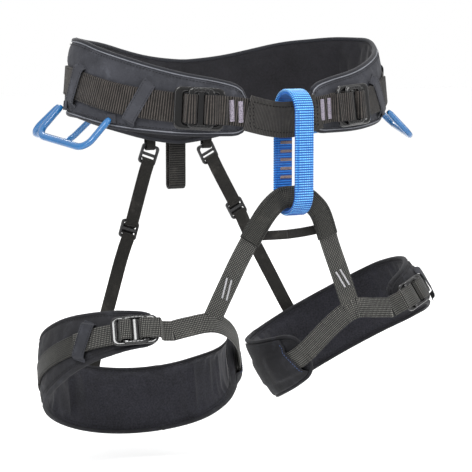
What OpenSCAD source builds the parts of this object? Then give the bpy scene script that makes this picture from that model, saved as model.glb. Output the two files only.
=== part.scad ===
// Sport climbing harness: padded waist belt, belay loop, two adjustable leg loops, rear risers,
// four gear loops and a haul loop. Units are millimetres.
// +Z is up, the wearer faces -Y, the wearer's left is +X. The origin is the centre of the waist
// opening, level with the middle of the belt webbing.

/* [Waist belt] */
// Half width of the belt, side to side
belt_half_w = 165; // [140:1:190]
// Half depth of the belt, front to rear
belt_half_d = 104; // [85:1:125]
// Where each pad ends, in degrees from the front
pad_start = 12; // [8:1:20]
// Half thickness of the belt foam
belt_foam = 3.2; // [2:0.1:5]
// How far the belt leans out per mm of drop
belt_lean = 0.09; // [0:0.01:0.2]
// Width of the belt webbing
belt_web = 28; // [24:1:40]
// Width of the webbing the belay loop passes round
tie_web = 34; // [28:1:40]
// Thickness of the fabric shell and liner
cloth = 0.9; // [0.6:0.1:1.4]

/* [Belay loop] */
// Width of the belay loop webbing
belay_w = 19; // [16:0.5:24]
// Thickness of the stacked belay webbing
belay_t = 4.4; // [3:0.2:6]
// Offset of the belay loop from the middle
belay_x = 10; // [0:1:14]
// Radius of the loop's turns, at its centreline
belay_r = 20; // [14:1:24]
// Height of the loop's top centreline
belay_top = 9.2; // [6:0.1:12]
// Height of the loop's bottom centreline
belay_bottom = -106; // [-120:1:-90]

/* [Leg loops] */
// Inner radius of a leg loop at its pad's middle
leg_r = 92; // [80:1:105]
// Half thickness of the leg foam
leg_foam_t = 2.8; // [2:0.1:4]
// Width of the leg and bridge webbing
leg_web = 20; // [16:1:25]
// Centre of the wearer's right leg loop
right_centre = [-108, -15, -261.5];
// Slopes of the right leg loop, along X and Y
right_slope = [-0.20, -0.62];
// Centre of the wearer's left leg loop
left_centre = [123, -15, -238];
// Slopes of the left leg loop, along X and Y
left_slope = [0.437, -0.371];
// Junction of bridge and right leg straps
right_joint = [-73, -104, -205];
// Junction of bridge and left leg straps
left_joint = [82, -105, -203];

/* [Risers and loops] */
// Width of the elastic riser straps
riser_w = 15; // [12:1:20]
// Radius of a gear loop's tube
gear_r = 3.5; // [2.5:0.1:5]
// How far a gear loop reaches from the belt
gear_depth = 38; // [28:1:50]
// Tilt of a gear loop away from straight down
gear_tilt = 45; // [20:1:70]
// Width of the haul loop
haul_w = 19; // [14:1:24]

/* [Buckles] */
// Length of a waist buckle along the belt
buckle_l = 48; // [40:1:60]
// Length of a leg buckle along its strap
leg_buckle_l = 44; // [36:1:52]
// Where the waist buckles sit, degrees from front
buckle_at = 28.5; // [24:0.5:36]
// Where the leg buckles sit, degrees from front
leg_buckle_at = 28; // [20:1:40]

/* [Hidden] */

RIGHT = -1;
LEFT = 1;
WAIST = 0;
$fn = 24;
gap = 0.25;              // between stacked layers
web_t = 2.0;             // structural belt webbing
strap_t = 1.6;           // front strap and tails
web_off = belt_foam + gap + cloth + 0.45 + web_t / 2;
tail_off = web_off + web_t / 2 + 0.3 + strap_t / 2;
leg_web_t = 1.8;
leg_web_off = leg_foam_t + gap + cloth + 0.4 + leg_web_t / 2;
leg_tail_off = leg_web_off + leg_web_t / 2 + 0.3 + strap_t / 2;
leg_mid_h = -4;          // height of the leg webbing on its pad
leg_from = 16;           // pad end under the buckle
leg_to = 308;            // pad end towards the inside
belay_y = -114;
bridge_z = -90.5;
binding_r = 2.1;
belt_inset = 0.9;        // degrees between a belt layer's end and the pad's end
leg_inset = 1.5;

// Belt heights against the angle from the front: pad top, pad bottom, webbing middle
belt_top_at = [[10, 10], [20, 19], [34, 25], [60, 42], [85, 56], [115, 57], [140, 52], [165, 37], [180, 33]];
belt_low_at = [[10, -30], [34, -29.5], [58, -24], [82, -15], [100, -12], [125, -18], [150, -34], [168, -47], [180, -52]];
web_at = [[0, -14.5], [8, -13], [16, -8], [28, -6], [38, -4.5], [58, 2.5], [80, 14], [95, 19],
    [120, 18], [150, 4], [180, -8]];
// Leg pad heights against the angle from the front
leg_top_at = [[16, 15], [40, 20], [70, 27], [110, 33], [180, 34], [250, 32], [290, 24], [308, 18]];
leg_low_at = [[16, -14], [34, -17], [52, -21], [66, -25], [84, -31], [110, -34],
    [180, -34], [250, -33], [290, -28], [308, -23]];

// ---------------------------------------------------------------- points and paths
function unit(v) = v / norm(v);
function mix(a, b, t) = a + (b - a) * t;
function soft(x, t) = (lookup(x - 6, t) + lookup(x - 3, t) + lookup(x, t) + lookup(x + 3, t)
    + lookup(x + 6, t)) / 5;
function front_angle(u) = let(w = abs(u) % 360) w > 180 ? 360 - w : w;
function web_z(u) = soft(front_angle(u), web_at);

// A point on the belt: angle from the front, distance off the foam's middle, height
function belt_spot(u, off, z) = let(
    n = unit([sin(u) / belt_half_w, -cos(u) / belt_half_d]),
    d = off - belt_lean * z)
    [belt_half_w * sin(u) + d * n[0], -belt_half_d * cos(u) + d * n[1], z];

// Frames of the two leg loops
function leg_c(s) = s == RIGHT ? right_centre : left_centre;
function leg_n(s) = let(q = s == RIGHT ? right_slope : left_slope) unit([-q[0], -q[1], 1]);
function leg_f(s) = let(n = leg_n(s)) unit([0, -1, 0] - n * (n * [0, -1, 0]));
function leg_l(s) = s * cross(leg_n(s), leg_f(s));
function leg_spot(s, v, off, h) = leg_c(s) + (leg_r + off) * (cos(v) * leg_f(s) + sin(v) * leg_l(s))
    + h * leg_n(s);
function spot(k, u, off, h) = k == WAIST ? belt_spot(u, off, h) : leg_spot(k, u, off, h);
function up_at(k, q) = unit(spot(k, q[0], q[1], q[2] + 1) - spot(k, q[0], q[1], q[2] - 1));
function along_at(k, q) = unit(spot(k, q[0] + 0.5, q[1], q[2]) - spot(k, q[0] - 0.5, q[1], q[2]));

// Smooth curve through key points
function curve4(a, b, c, d, t) = 0.5 * (2 * b + (c - a) * t + (2 * a - 5 * b + 4 * c - d) * t * t
    + (3 * b - a - 3 * c + d) * t * t * t);
function smooth(K, n) = let(m = len(K)) concat(
    [for (i = [0:m - 2]) for (j = [0:n - 1])
        curve4(K[max(i - 1, 0)], K[i], K[i + 1], K[min(i + 2, m - 1)], j / n)], [K[m - 1]]);

// ---------------------------------------------------------------- solids from sections
module skin(rings, closed = false, flip = false, facing = false) {
    m = len(rings[0]);
    n = len(rings);
    seg = closed ? n : n - 1;
    tri = [for (i = [0:seg - 1]) for (j = [0:m - 1]) let(
        a = i * m + j, b = i * m + (j + 1) % m,
        c = ((i + 1) % n) * m + (j + 1) % m, d = ((i + 1) % n) * m + j)
        each facing && j >= m / 2 ? [[a, b, d], [b, c, d]] : [[a, b, c], [a, c, d]]];
    caps = closed ? [] : [[for (j = [m - 1:-1:0]) j], [for (j = [0:m - 1]) (n - 1) * m + j]];
    all = concat(tri, caps);
    polyhedron(points = [for (r = rings) for (p = r) p],
        faces = flip ? [for (f = all) [for (i = [len(f) - 1:-1:0]) f[i]]] : all, convexity = 8);
}

// Flat strap along points P, with its width along the hints C
module ribbon(P, C, w, t, closed = false) {
    n = len(P);
    rings = [for (i = [0:n - 1]) let(
        a = closed ? P[(i + n - 1) % n] : P[max(i - 1, 0)],
        b = closed ? P[(i + 1) % n] : P[min(i + 1, n - 1)],
        T = unit(b - a),
        o = unit(cross(T, C[i])),
        c = cross(o, T))
        [P[i] + c * w / 2 + o * t / 2, P[i] - c * w / 2 + o * t / 2,
         P[i] - c * w / 2 - o * t / 2, P[i] + c * w / 2 - o * t / 2]];
    skin(rings, closed);
}

// Strap lying on the belt or a leg loop; keys are [angle, off, height]
module laid(k, Q, w, t) {
    ribbon([for (q = Q) spot(k, q[0], q[1], q[2])], [for (q = Q) up_at(k, q)], w, t);
}

// Band of fabric or foam: thins towards its edges and rounds at its ends
function swell(t) = sqrt(1 - 0.88 * pow(t, 4));
function end_round(d, r) = d >= r ? 1 : 0.45 + 0.55 * sqrt(1 - pow(1 - d / r, 2));
function band_limits(k, u, u0, u1, trim) = let(
    w = k == WAIST ? front_angle(u) : u,
    hi = soft(w, k == WAIST ? belt_top_at : leg_top_at),
    lo = soft(w, k == WAIST ? belt_low_at : leg_low_at),
    e = end_round(min(u - u0, u1 - u), k == WAIST ? 5 : 9), m = (hi + lo) / 2)
    [mix(m, lo, e) + trim, mix(m, hi, e) - trim];
function band_ring(k, u, lim, a, sa, b, sb, n = 4) = concat(
    [for (i = [0:n]) spot(k, u, b + sb * swell(2 * i / n - 1), mix(lim[0], lim[1], i / n))],
    [for (i = [n:-1:0]) spot(k, u, a + sa * swell(2 * i / n - 1), mix(lim[0], lim[1], i / n))]);
module band(k, u0, u1, step, trim, a, sa, b, sb) {
    n = ceil((u1 - u0) / step);
    rings = [for (i = [0:n]) let(t = i / n, u = mix(u0, u1, t - 0.035 * sin(360 * t)))
        band_ring(k, u, band_limits(k, u, u0, u1, trim), a, sa, b, sb)];
    skin(rings, false, k != RIGHT, true);
}

// Cord-like binding round the whole edge of a pad
module binding(k, u0, u1, step) {
    n = ceil((u1 - u0) / step);
    us = [for (i = [0:n]) let(t = i / n) mix(u0, u1, t - 0.035 * sin(360 * t))];
    e = k == WAIST ? 1.1 : 1.9;
    hi = [for (u = us) spot(k, u, 0, band_limits(k, u, u0, u1, -0.2)[1])];
    lo = [for (i = [n:-1:0]) spot(k, us[i], 0, band_limits(k, us[i], u0, u1, -0.2)[0])];
    P = concat(hi, [spot(k, u1 + e, 0, mix(band_limits(k, u1, u0, u1, 0)[1], band_limits(k, u1, u0, u1, 0)[0], 0.5))],
        lo, [spot(k, u0 - e, 0, mix(band_limits(k, u0, u0, u1, 0)[1], band_limits(k, u0, u0, u1, 0)[0], 0.5))]);
    m = len(P);
    mid = k == WAIST ? [0, 0, 0] : leg_c(k);
    rings = [for (i = [0:m - 1]) let(
        T = unit(P[(i + 1) % m] - P[(i + m - 1) % m]),
        r = P[i] - mid, rr = k == WAIST ? [r[0], r[1], 0] : r - leg_n(k) * (r * leg_n(k)),
        o = unit(rr - T * (rr * T)), c = cross(T, o))
        [for (j = [0:5]) P[i] + binding_r * (1.25 * cos(60 * j) * o + sin(60 * j) * c)]];
    skin(rings, true);
}

// Puts a flat part in a frame given by an origin, an X direction and an outward direction
module place(o, x, z) {
    xx = unit(x);
    zz = unit(z - xx * (z * xx));
    yy = cross(zz, xx);
    multmatrix([[xx[0], yy[0], zz[0], o[0]], [xx[1], yy[1], zz[1], o[1]],
                [xx[2], yy[2], zz[2], o[2]], [0, 0, 0, 1]]) children();
}
module rounded(l, h, r) {
    hull() for (i = [-1, 1]) for (j = [-1, 1])
        translate([i * (l / 2 - r), j * (h / 2 - r)]) circle(r = r);
}

// ---------------------------------------------------------------- waist belt
module belt_band(trim, a, sa, b, sb) {
    band(WAIST, pad_start + belt_inset, 360 - pad_start - belt_inset, 6, trim, a, sa, b, sb);
}
module waist_foam_core() {
    color("#3a3a40") belt_band(2.6, 0, -belt_foam, 0, belt_foam);
}
module waist_outer_shell() {
    color("#4e515c") belt_band(2.8, gap, belt_foam, gap + cloth, belt_foam);
}
module waist_liner() {
    color("#2b292e") belt_band(2.8, -gap - cloth, -belt_foam, -gap, -belt_foam);
}
module waist_edge_binding() {
    color("#9a9ca3") binding(WAIST, pad_start, 360 - pad_start, 6);
}
module waist_webbing() {
    color("#3a3633") laid(WAIST, [for (i = [0:58]) let(u = mix(20, 340, i / 58)) [u, web_off, web_z(u)]],
        belt_web, web_t);
}

// How the strap runs through a buckle, as [distance from its middle, rise]. In front it covers the
// frame's bar, and behind it dives under the other one.
front_way = [[28, 0], [26.4, 0], [25.2, 0.6], [24.6, 1.8], [24.2, 3.4], [23.8, 5], [22.6, 6.2], [19, 6.4],
    [15.5, 7.4], [13.2, 8.6], [11.6, 9.2], [9.3, 9.4], [7, 9.3], [5.4, 8.4], [4.8, 7.2], [4.5, 5.4],
    [3.6, 3.6], [2.2, 2.7], [0, 2.4]];
rear_way = [[26, 0], [19, 0], [17, 0.1], [15.8, 0.6], [14.9, 2], [14.4, 4], [14, 6.2], [13.4, 8.2],
    [12, 9.2], [9.3, 9.4], [7, 9.3], [5.4, 8.4], [4.8, 7.2], [4.5, 5.4], [3.6, 3.6], [2.2, 2.7]];
// Millimetres per degree along the strap, at its own level and for each mm that it rises
function per_deg(k, rise) = k == WAIST ? 2.776 + 0.0127 * rise : 1.732 + 0.01745 * rise;
// The buckle is flat and the belt curves away from it
function way_at(k, at, off, z, w, f) = let(
    rise = w[1] + w[0] * w[0] / 2 / (k == WAIST ? 218 : 99) * min(1, w[1] / 4))
    [at + f * w[0] / per_deg(k, rise), off + rise, z];
function through(k, at, off, z) = concat(
    [for (w = front_way) way_at(k, at, off, z, w, -1)],
    [for (i = [len(rear_way) - 1:-1:0]) way_at(k, at, off, z, rear_way[i], 1)]);
// Direction of the belt webbing, and across it
function web_run(u) = spot(WAIST, u + 4, 0, web_z(u + 4)) - spot(WAIST, u - 4, 0, web_z(u - 4));
function web_up(u) = let(r = unit(web_run(u)),
    v = spot(WAIST, u, 0, web_z(u) + 1) - spot(WAIST, u, 0, web_z(u) - 1))
    unit(v - r * (v * r));
function web_out(u) = cross(web_run(u), web_up(u));
module front_belt_strap() {
    half = concat([for (u = [0:3:15]) [u, tail_off, web_z(u)]],
        [for (q = through(WAIST, buckle_at, tail_off, 0)) [q[0], q[1], web_z(q[0])]],
        [for (u = [42:2.5:67]) [u, tail_off, web_z(u)]]);
    n = len(half);
    Q = concat([for (i = [n - 1:-1:1]) [-half[i][0], half[i][1], half[i][2]]], half);
    color("#38342f") ribbon([for (q = Q) spot(WAIST, q[0], q[1], q[2])], [for (q = Q) web_up(q[0])],
        belt_web - 1, strap_t);
}
module front_tie_in_webbing() {
    color("#3c3a3a") laid(WAIST, [for (u = [-13:2:13]) [u, tail_off + strap_t + 0.5, web_z(u) - 3.2 * cos(u * 7)]],
        tie_web, strap_t + 0.4);
}
module keeper_strip(k, u0, u1, mid, half, low, high, w) {
    K = [[0, low, half + 5], [0.06, low + 0.6, half + 3.4], [0.12, high, half + 0.6], [0.5, high, 0],
        [0.88, high, -half - 0.6], [0.94, low + 0.6, -half - 3.4], [1, low, -half - 5]];
    Q = [for (q = K) [mix(u0, u1, q[0]), q[1], mid + q[2]]];
    P = [for (q = Q) spot(k, q[0], q[1], q[2])];
    ribbon(P, [for (q = Q) cross(spot(k, q[0], 1, q[2]) - spot(k, q[0], 0, q[2]), P[0] - P[6])], w, 0.8);
}
module waist_keepers() {
    color("#555862") for (s = [-1, 1]) {
        keeper_strip(WAIST, s * 46, s * 55, web_z(50), belt_web / 2, 5.3, tail_off + 1.7, 13);
        keeper_strip(WAIST, s * 80, s * 87, web_z(83), belt_web / 2, 5.3, tail_off + 1.7, 13);
    }
}
module waist_bar_tacks() {
    color("#c9c3cf") for (u = [-18, -15, 15, 18])
        laid(WAIST, [[u - 0.55, tail_off + 1.4, web_z(u)], [u + 0.55, tail_off + 1.4, web_z(u)]], 20, 0.8);
}
// Flat frame with one opening; the bar nearer the wearer's back is broader
module buckle_plate(l, h, open_l, open_h, shift, r, t) {
    linear_extrude(t) difference() {
        translate([shift, 0]) rounded(l, h, r);
        rounded(open_l, open_h, 2);
    }
}
module waist_frame(s) {
    color("#1b1b1e") place(spot(WAIST, s * buckle_at, tail_off + 1.6, web_z(buckle_at)),
        web_run(s * buckle_at), web_out(s * buckle_at))
        buckle_plate(buckle_l, belt_web + 11.5, 33, belt_web + 1.5, s * 1.3, 6.5, 3);
}
module waist_slider(s) {
    color("#26262a") place(spot(WAIST, s * buckle_at, tail_off + 5.2, web_z(buckle_at)),
        web_run(s * buckle_at), web_out(s * buckle_at))
        buckle_plate(25, belt_web + 9, 12.2, belt_web + 1.5, 0, 4, 2.4);
}
module waist_buckle_frame_right() { waist_frame(RIGHT); }
module waist_buckle_frame_left() { waist_frame(LEFT); }
module waist_buckle_slider_right() { waist_slider(RIGHT); }
module waist_buckle_slider_left() { waist_slider(LEFT); }

// ---------------------------------------------------------------- gear loops and haul loop
gear_ends = [[62, 96], [106, 142]];
function gear_end(u) = spot(WAIST, u, 9.6, soft(front_angle(u), belt_low_at) + 7);
module gear_loop_anchors() {
    color("#4a4c55") for (s = [-1, 1]) for (p = gear_ends) for (u = p)
        laid(WAIST, [for (d = [-2, 0, 2]) [s * u + d, 5.2, soft(front_angle(u), belt_low_at) + 7.5]], 9, 1);
}
module gear_loop(s, i) {
    a = gear_end(s * gear_ends[i][0]);
    b = gear_end(s * gear_ends[i][1]);
    w = norm(b - a);
    x = (b - a) / w;
    outward = unit(cross(x, [0, 0, 1]) * s);
    y = unit(outward * sin(gear_tilt) - [0, 0, 1] * cos(gear_tilt));
    yy = unit(y - x * (y * x));
    z = cross(x, yy);
    c = 12;
    color("#2f7fd0") multmatrix([[x[0], yy[0], z[0], a[0]], [x[1], yy[1], z[1], a[1]],
        [x[2], yy[2], z[2], a[2]], [0, 0, 0, 1]]) {
        for (q = [0, w]) translate([q, 0, 0]) rotate([-90, 0, 0]) cylinder(h = gear_depth - c, r = gear_r);
        translate([c, gear_depth, 0]) rotate([0, 90, 0]) cylinder(h = w - 2 * c, r = gear_r);
        translate([c, gear_depth - c, 0]) rotate([0, 0, 90]) rotate_extrude(angle = 90)
            translate([c, 0]) circle(r = gear_r);
        translate([w - c, gear_depth - c, 0]) rotate_extrude(angle = 90) translate([c, 0]) circle(r = gear_r);
    }
}
module gear_loop_front_right() { gear_loop(RIGHT, 0); }
module gear_loop_rear_right() { gear_loop(RIGHT, 1); }
module gear_loop_front_left() { gear_loop(LEFT, 0); }
module gear_loop_rear_left() { gear_loop(LEFT, 1); }

// Upright closed loop of strap in the YZ plane
function upright(y, r, top, low, n) = concat(
    [for (i = [0:n]) [y + r * cos(180 * i / n), top - r + r * sin(180 * i / n)]],
    [for (i = [0:n]) [y - r * cos(180 * i / n), low + r - r * sin(180 * i / n)]]);
module closed_loop(x, y, r, top, low, w, t, n) {
    P = [for (q = upright(y, r, top, low, n)) [x, q[0], q[1]]];
    ribbon(P, [for (p = P) [1, 0, 0]], w, t, true);
}
haul_y = belt_half_d + 16;
module haul_loop() {
    color("#34322f") closed_loop(0, haul_y, 4.2, -40, -101, haul_w, 2, 8);
}
module haul_loop_tack() {
    color("#3c3b3f") laid(WAIST, [for (d = [-4, -2, 0, 2, 4]) [180 + d, tail_off - 0.2, -22]], 18, 1);
}

// ---------------------------------------------------------------- belay loop
module belay_loop_webbing() {
    color("#2f8ff0") closed_loop(belay_x, belay_y, belay_r, belay_top, belay_bottom, belay_w, belay_t, 12);
}
module belay_loop_bar_tacks() {
    color("#a08f8f") for (i = [0:4]) translate([belay_x + 2, belay_y + belay_r - belay_t / 2 - 0.6, -40 - 8.3 * i])
        cube([12.5, 0.7, 3], center = true);
}

// ---------------------------------------------------------------- rear risers
function riser_top(s) = [s * 34, belt_half_d + 10, -62];
function riser_foot(s) = spot(s, 180, leg_tail_off + 0.9, 37);
function riser_dir(s) = unit(riser_foot(s) - riser_top(s));
function riser_side(s) = unit(cross(riser_dir(s), [0, 1, 0]));
function riser_out(s) = let(d = riser_dir(s)) unit([0, 1, 0] - d * d[1]);
function riser_at(s, t) = mix(riser_top(s), riser_foot(s), t);
module riser_anchor_loops() {
    color("#3c3b3f") for (s = [-1, 1])
        closed_loop(s * 33.2, riser_top(s)[1] - 0.3, 3.4, -33, -59, 10, 1, 5);
}
module riser_hook(s) {
    color("#1f1f22") place(riser_top(s) + riser_dir(s) * 2, riser_side(s), [0, 1, 0]) difference() {
        translate([0, 0, -2]) linear_extrude(4) rounded(20, 22, 3.5);
        translate([0, -5, -3]) linear_extrude(6) rounded(14.4, 5.8, 1.5);
        translate([0, 5, -3]) linear_extrude(6) rounded(riser_w + 1.5, 4.4, 1);
    }
}
// The upper strap comes out of the hook's lower slot and runs in front of its bar
module riser_upper(s) {
    d = riser_dir(s);
    h = riser_top(s) + d * 2;
    n = norm(riser_at(s, 0.36) - h);
    K = [[4.4, 1.2], [5.0, -1.4], [6.6, -3.3], [12, -3.4], [24, -2.6], [n - 13, -2.8], [n - 9, -3.2],
        [n - 6.2, -3.2], [n - 5.3, -2.4], [n - 4.9, -1.2], [n - 4.3, 1.2], [n - 3.9, 2.4],
        [n - 3, 3.2], [n - 1.2, 3.2]];
    P = [for (q = K) h + d * q[0] + (q[0] > 20 ? riser_out(s) : [0, 1, 0]) * q[1]];
    color("#34332f") ribbon(P, [for (p = P) riser_side(s)], riser_w, 1.6);
}
module riser_slider(s) {
    color("#232325") place(riser_at(s, 0.36), riser_side(s), riser_out(s)) difference() {
        translate([0, 0, -2.2]) linear_extrude(4.4) rounded(20, 20, 3);
        for (y = [-4.6, 4.6]) translate([0, y, -3]) linear_extrude(6) rounded(riser_w + 1, 4, 1);
    }
}
module riser_lower(s) {
    d = riser_dir(s);
    W = [[1.2, 3.1], [3, 3.1], [3.9, 2.3], [4.3, 1.2], [4.9, -1.2], [5.3, -2.3], [6.2, -3.1], [9, -3.1], [13, -2.6],
        [19, -1.4]];
    K = concat([for (w = W) riser_at(s, 0.36) + d * w[0] + riser_out(s) * w[1]],
        [for (t = [0.52, 0.63, 0.74, 0.86, 0.96]) riser_at(s, t)],
        [spot(s, 180, leg_tail_off + 0.2, 31), spot(s, 180, leg_tail_off - 0.1, 20),
        spot(s, 180, leg_tail_off - 0.1, 9)]);
    P = smooth(K, 2);
    color("#34332f") ribbon(P, [for (p = P) riser_side(s)], riser_w, 1.3);
}
module riser_hook_right() { riser_hook(RIGHT); }
module riser_hook_left() { riser_hook(LEFT); }
module riser_upper_right() { riser_upper(RIGHT); }
module riser_upper_left() { riser_upper(LEFT); }
module riser_slider_right() { riser_slider(RIGHT); }
module riser_slider_left() { riser_slider(LEFT); }
module riser_lower_right() { riser_lower(RIGHT); }
module riser_lower_left() { riser_lower(LEFT); }

// ---------------------------------------------------------------- bridge strap
function joint_at(s) = s == RIGHT ? right_joint : left_joint;
function bridge_keys(s) = let(c = [belay_x, belay_y, bridge_z], j = joint_at(s), d = j - c) [
    c + [s * 0.3, 0, 0], c + [s * 5, 0, 0], c + [s * 12, 0.2, -1], c + [s * 21, 0.5, -6.8], c + [s * 32, 1.5, -19.5],
    c + [d[0] * 0.62, d[1] * 0.45, d[2] * 0.45], c + [d[0] * 0.82, d[1] * 0.75, d[2] * 0.74],
    c + [d[0] * 0.97, d[1], d[2] * 0.97]];
function bridge_path(s) = smooth(bridge_keys(s), 4);
sleeve_end = 19;         // last point of the doubled part
function bridge_across(P) = [for (i = [0:len(P) - 1])
    let(T = P[min(i + 1, len(P) - 1)] - P[max(i - 1, 0)]) unit(cross(T, [0, 1, 0]))];
module bridge_strap(s) {
    P = bridge_path(s);
    color("#4a4a48") ribbon(P, bridge_across(P), leg_web, 2);
}
module bridge_sleeve(s) {
    P = bridge_path(s);
    C = bridge_across(P);
    color("#454543") for (k = [-1, 1]) {
        Q = [for (i = [0:sleeve_end]) P[i] + k * [0, 1, 0] * 2.05];
        ribbon(Q, [for (i = [0:sleeve_end]) C[i]], leg_web, 1.5);
    }
}
module bridge_strap_right() { bridge_strap(RIGHT); }
module bridge_strap_left() { bridge_strap(LEFT); }
module bridge_sleeve_right() { bridge_sleeve(RIGHT); }
module bridge_sleeve_left() { bridge_sleeve(LEFT); }
module bridge_keeper() {
    P = smooth([[-26, -106.7, -127], [-4, -106.7, -127.5], [16, -106.7, -126.5], [42, -106.7, -124]], 4);
    color("#2e2c28") ribbon(P, [for (p = P) [0, 0.25, 1]], 9, 1.4);
}

// ---------------------------------------------------------------- leg loops
module leg_band(s, trim, a, sa, b, sb) { band(s, leg_from + leg_inset, leg_to - leg_inset, 9, trim, a, sa, b, sb); }
module leg_foam(s) { color("#33343a") leg_band(s, 2.6, 0, -leg_foam_t, 0, leg_foam_t); }
module leg_shell(s) { color("#3b3d46") leg_band(s, 2.8, gap, leg_foam_t, gap + cloth, leg_foam_t); }
module leg_liner(s) { color("#2c2c33") leg_band(s, 2.8, -gap - cloth, -leg_foam_t, -gap, -leg_foam_t); }
module leg_binding(s) { color("#36373e") binding(s, leg_from, leg_to, 9); }
module leg_webbing(s) {
    color("#3c3c38") laid(s, [for (i = [0:36]) [mix(20, 306, i / 36), leg_web_off, leg_mid_h]], leg_web, leg_web_t);
}
function leg_h_at(s, p) = let(d = p - leg_c(s)) [
    atan2(d * leg_l(s), d * leg_f(s)), norm([d * leg_l(s), d * leg_f(s)]) - leg_r, d * leg_n(s)];
module leg_front_strap(s) {
    j = leg_h_at(s, joint_at(s));
    K = smooth([[-74, leg_tail_off, leg_mid_h], [-60, leg_tail_off, leg_mid_h], [-48, leg_tail_off + 3, -1],
        [mix(-48, j[0], 0.6), j[1] - 1, mix(0, j[2], 0.62)], [j[0], j[1] + 2.5, j[2] - 3],
        [mix(j[0], 8, 0.55), mix(j[1], leg_tail_off, 0.6), mix(j[2], leg_mid_h, 0.6)],
        [8, leg_tail_off + 0.6, leg_mid_h]], 4);
    Q = concat(K, through(s, leg_buckle_at, leg_tail_off, leg_mid_h),
        [for (v = [44:4:64]) [v, leg_tail_off, leg_mid_h]]);
    color("#4a4a48") laid(s, Q, leg_web, strap_t);
}
module leg_keeper(s) {
    color("#44464e") keeper_strip(s, 53, 62, leg_mid_h, leg_web / 2 + 2.6, leg_web_off + 0.2, leg_tail_off + 2.4, 14);
}
module leg_frame(s) {
    color("#1b1b1e") place(spot(s, leg_buckle_at, leg_tail_off + 1.6, leg_mid_h),
        along_at(s, [leg_buckle_at, 0, leg_mid_h]) * s, cos(leg_buckle_at) * leg_f(s) + sin(leg_buckle_at) * leg_l(s))
        buckle_plate(leg_buckle_l, leg_web + 9, 33, leg_web + 1.5, s * 0.6, 5, 2.8);
}
module leg_slider(s) {
    color("#26262a") place(spot(s, leg_buckle_at, leg_tail_off + 4.9, leg_mid_h),
        along_at(s, [leg_buckle_at, 0, leg_mid_h]) * s, cos(leg_buckle_at) * leg_f(s) + sin(leg_buckle_at) * leg_l(s))
        buckle_plate(25, leg_web + 8, 12.2, leg_web + 1.5, 0, 3.5, 2.2);
}
module leg_joint_tacks(s) {
    P = bridge_path(s);
    color("#b9b7bb") for (k = [-2.6, 2.6]) {
        q = P[24];
        T = unit(P[25] - P[23]);
        c = unit(cross(T, [0, 1, 0]));
        o = cross(T, c);
        ribbon([for (t = [-9, 9]) q + c * (k + t * 0.22) + T * t - o * 1.7 * sign(o * [0, 1, 0])], [c, c], 1.6, 0.6);
    }
}
module leg_foam_right() { leg_foam(RIGHT); }
module leg_shell_right() { leg_shell(RIGHT); }
module leg_liner_right() { leg_liner(RIGHT); }
module leg_binding_right() { leg_binding(RIGHT); }
module leg_webbing_right() { leg_webbing(RIGHT); }
module leg_front_strap_right() { leg_front_strap(RIGHT); }
module leg_keeper_right() { leg_keeper(RIGHT); }
module leg_buckle_frame_right() { leg_frame(RIGHT); }
module leg_buckle_slider_right() { leg_slider(RIGHT); }
module leg_joint_tacks_right() { leg_joint_tacks(RIGHT); }
module leg_foam_left() { leg_foam(LEFT); }
module leg_shell_left() { leg_shell(LEFT); }
module leg_liner_left() { leg_liner(LEFT); }
module leg_binding_left() { leg_binding(LEFT); }
module leg_webbing_left() { leg_webbing(LEFT); }
module leg_front_strap_left() { leg_front_strap(LEFT); }
module leg_keeper_left() { leg_keeper(LEFT); }
module leg_buckle_frame_left() { leg_frame(LEFT); }
module leg_buckle_slider_left() { leg_slider(LEFT); }
module leg_joint_tacks_left() { leg_joint_tacks(LEFT); }

waist_foam_core();
waist_outer_shell();
waist_liner();
waist_edge_binding();
waist_webbing();
front_belt_strap();
front_tie_in_webbing();
waist_keepers();
waist_bar_tacks();
waist_buckle_frame_right();
waist_buckle_frame_left();
waist_buckle_slider_right();
waist_buckle_slider_left();
gear_loop_anchors();
gear_loop_front_right();
gear_loop_rear_right();
gear_loop_front_left();
gear_loop_rear_left();
haul_loop();
haul_loop_tack();
riser_anchor_loops();
riser_hook_right();
riser_hook_left();
riser_upper_right();
riser_upper_left();
riser_slider_right();
riser_slider_left();
riser_lower_right();
riser_lower_left();
belay_loop_webbing();
belay_loop_bar_tacks();
bridge_strap_right();
bridge_strap_left();
bridge_sleeve_right();
bridge_sleeve_left();
bridge_keeper();
leg_foam_right();
leg_shell_right();
leg_liner_right();
leg_binding_right();
leg_webbing_right();
leg_front_strap_right();
leg_keeper_right();
leg_buckle_frame_right();
leg_buckle_slider_right();
leg_joint_tacks_right();
leg_foam_left();
leg_shell_left();
leg_liner_left();
leg_binding_left();
leg_webbing_left();
leg_front_strap_left();
leg_keeper_left();
leg_buckle_frame_left();
leg_buckle_slider_left();
leg_joint_tacks_left();
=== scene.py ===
"""Climbing harness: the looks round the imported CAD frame.

Lengths in the shape functions are millimetres; meshes are written in metres, in the row frame.
+Z is up, the wearer faces -Y and the wearer's left is +X.
"""
import math

import bpy
import numpy as np
from mathutils import Matrix, Vector, noise


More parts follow.
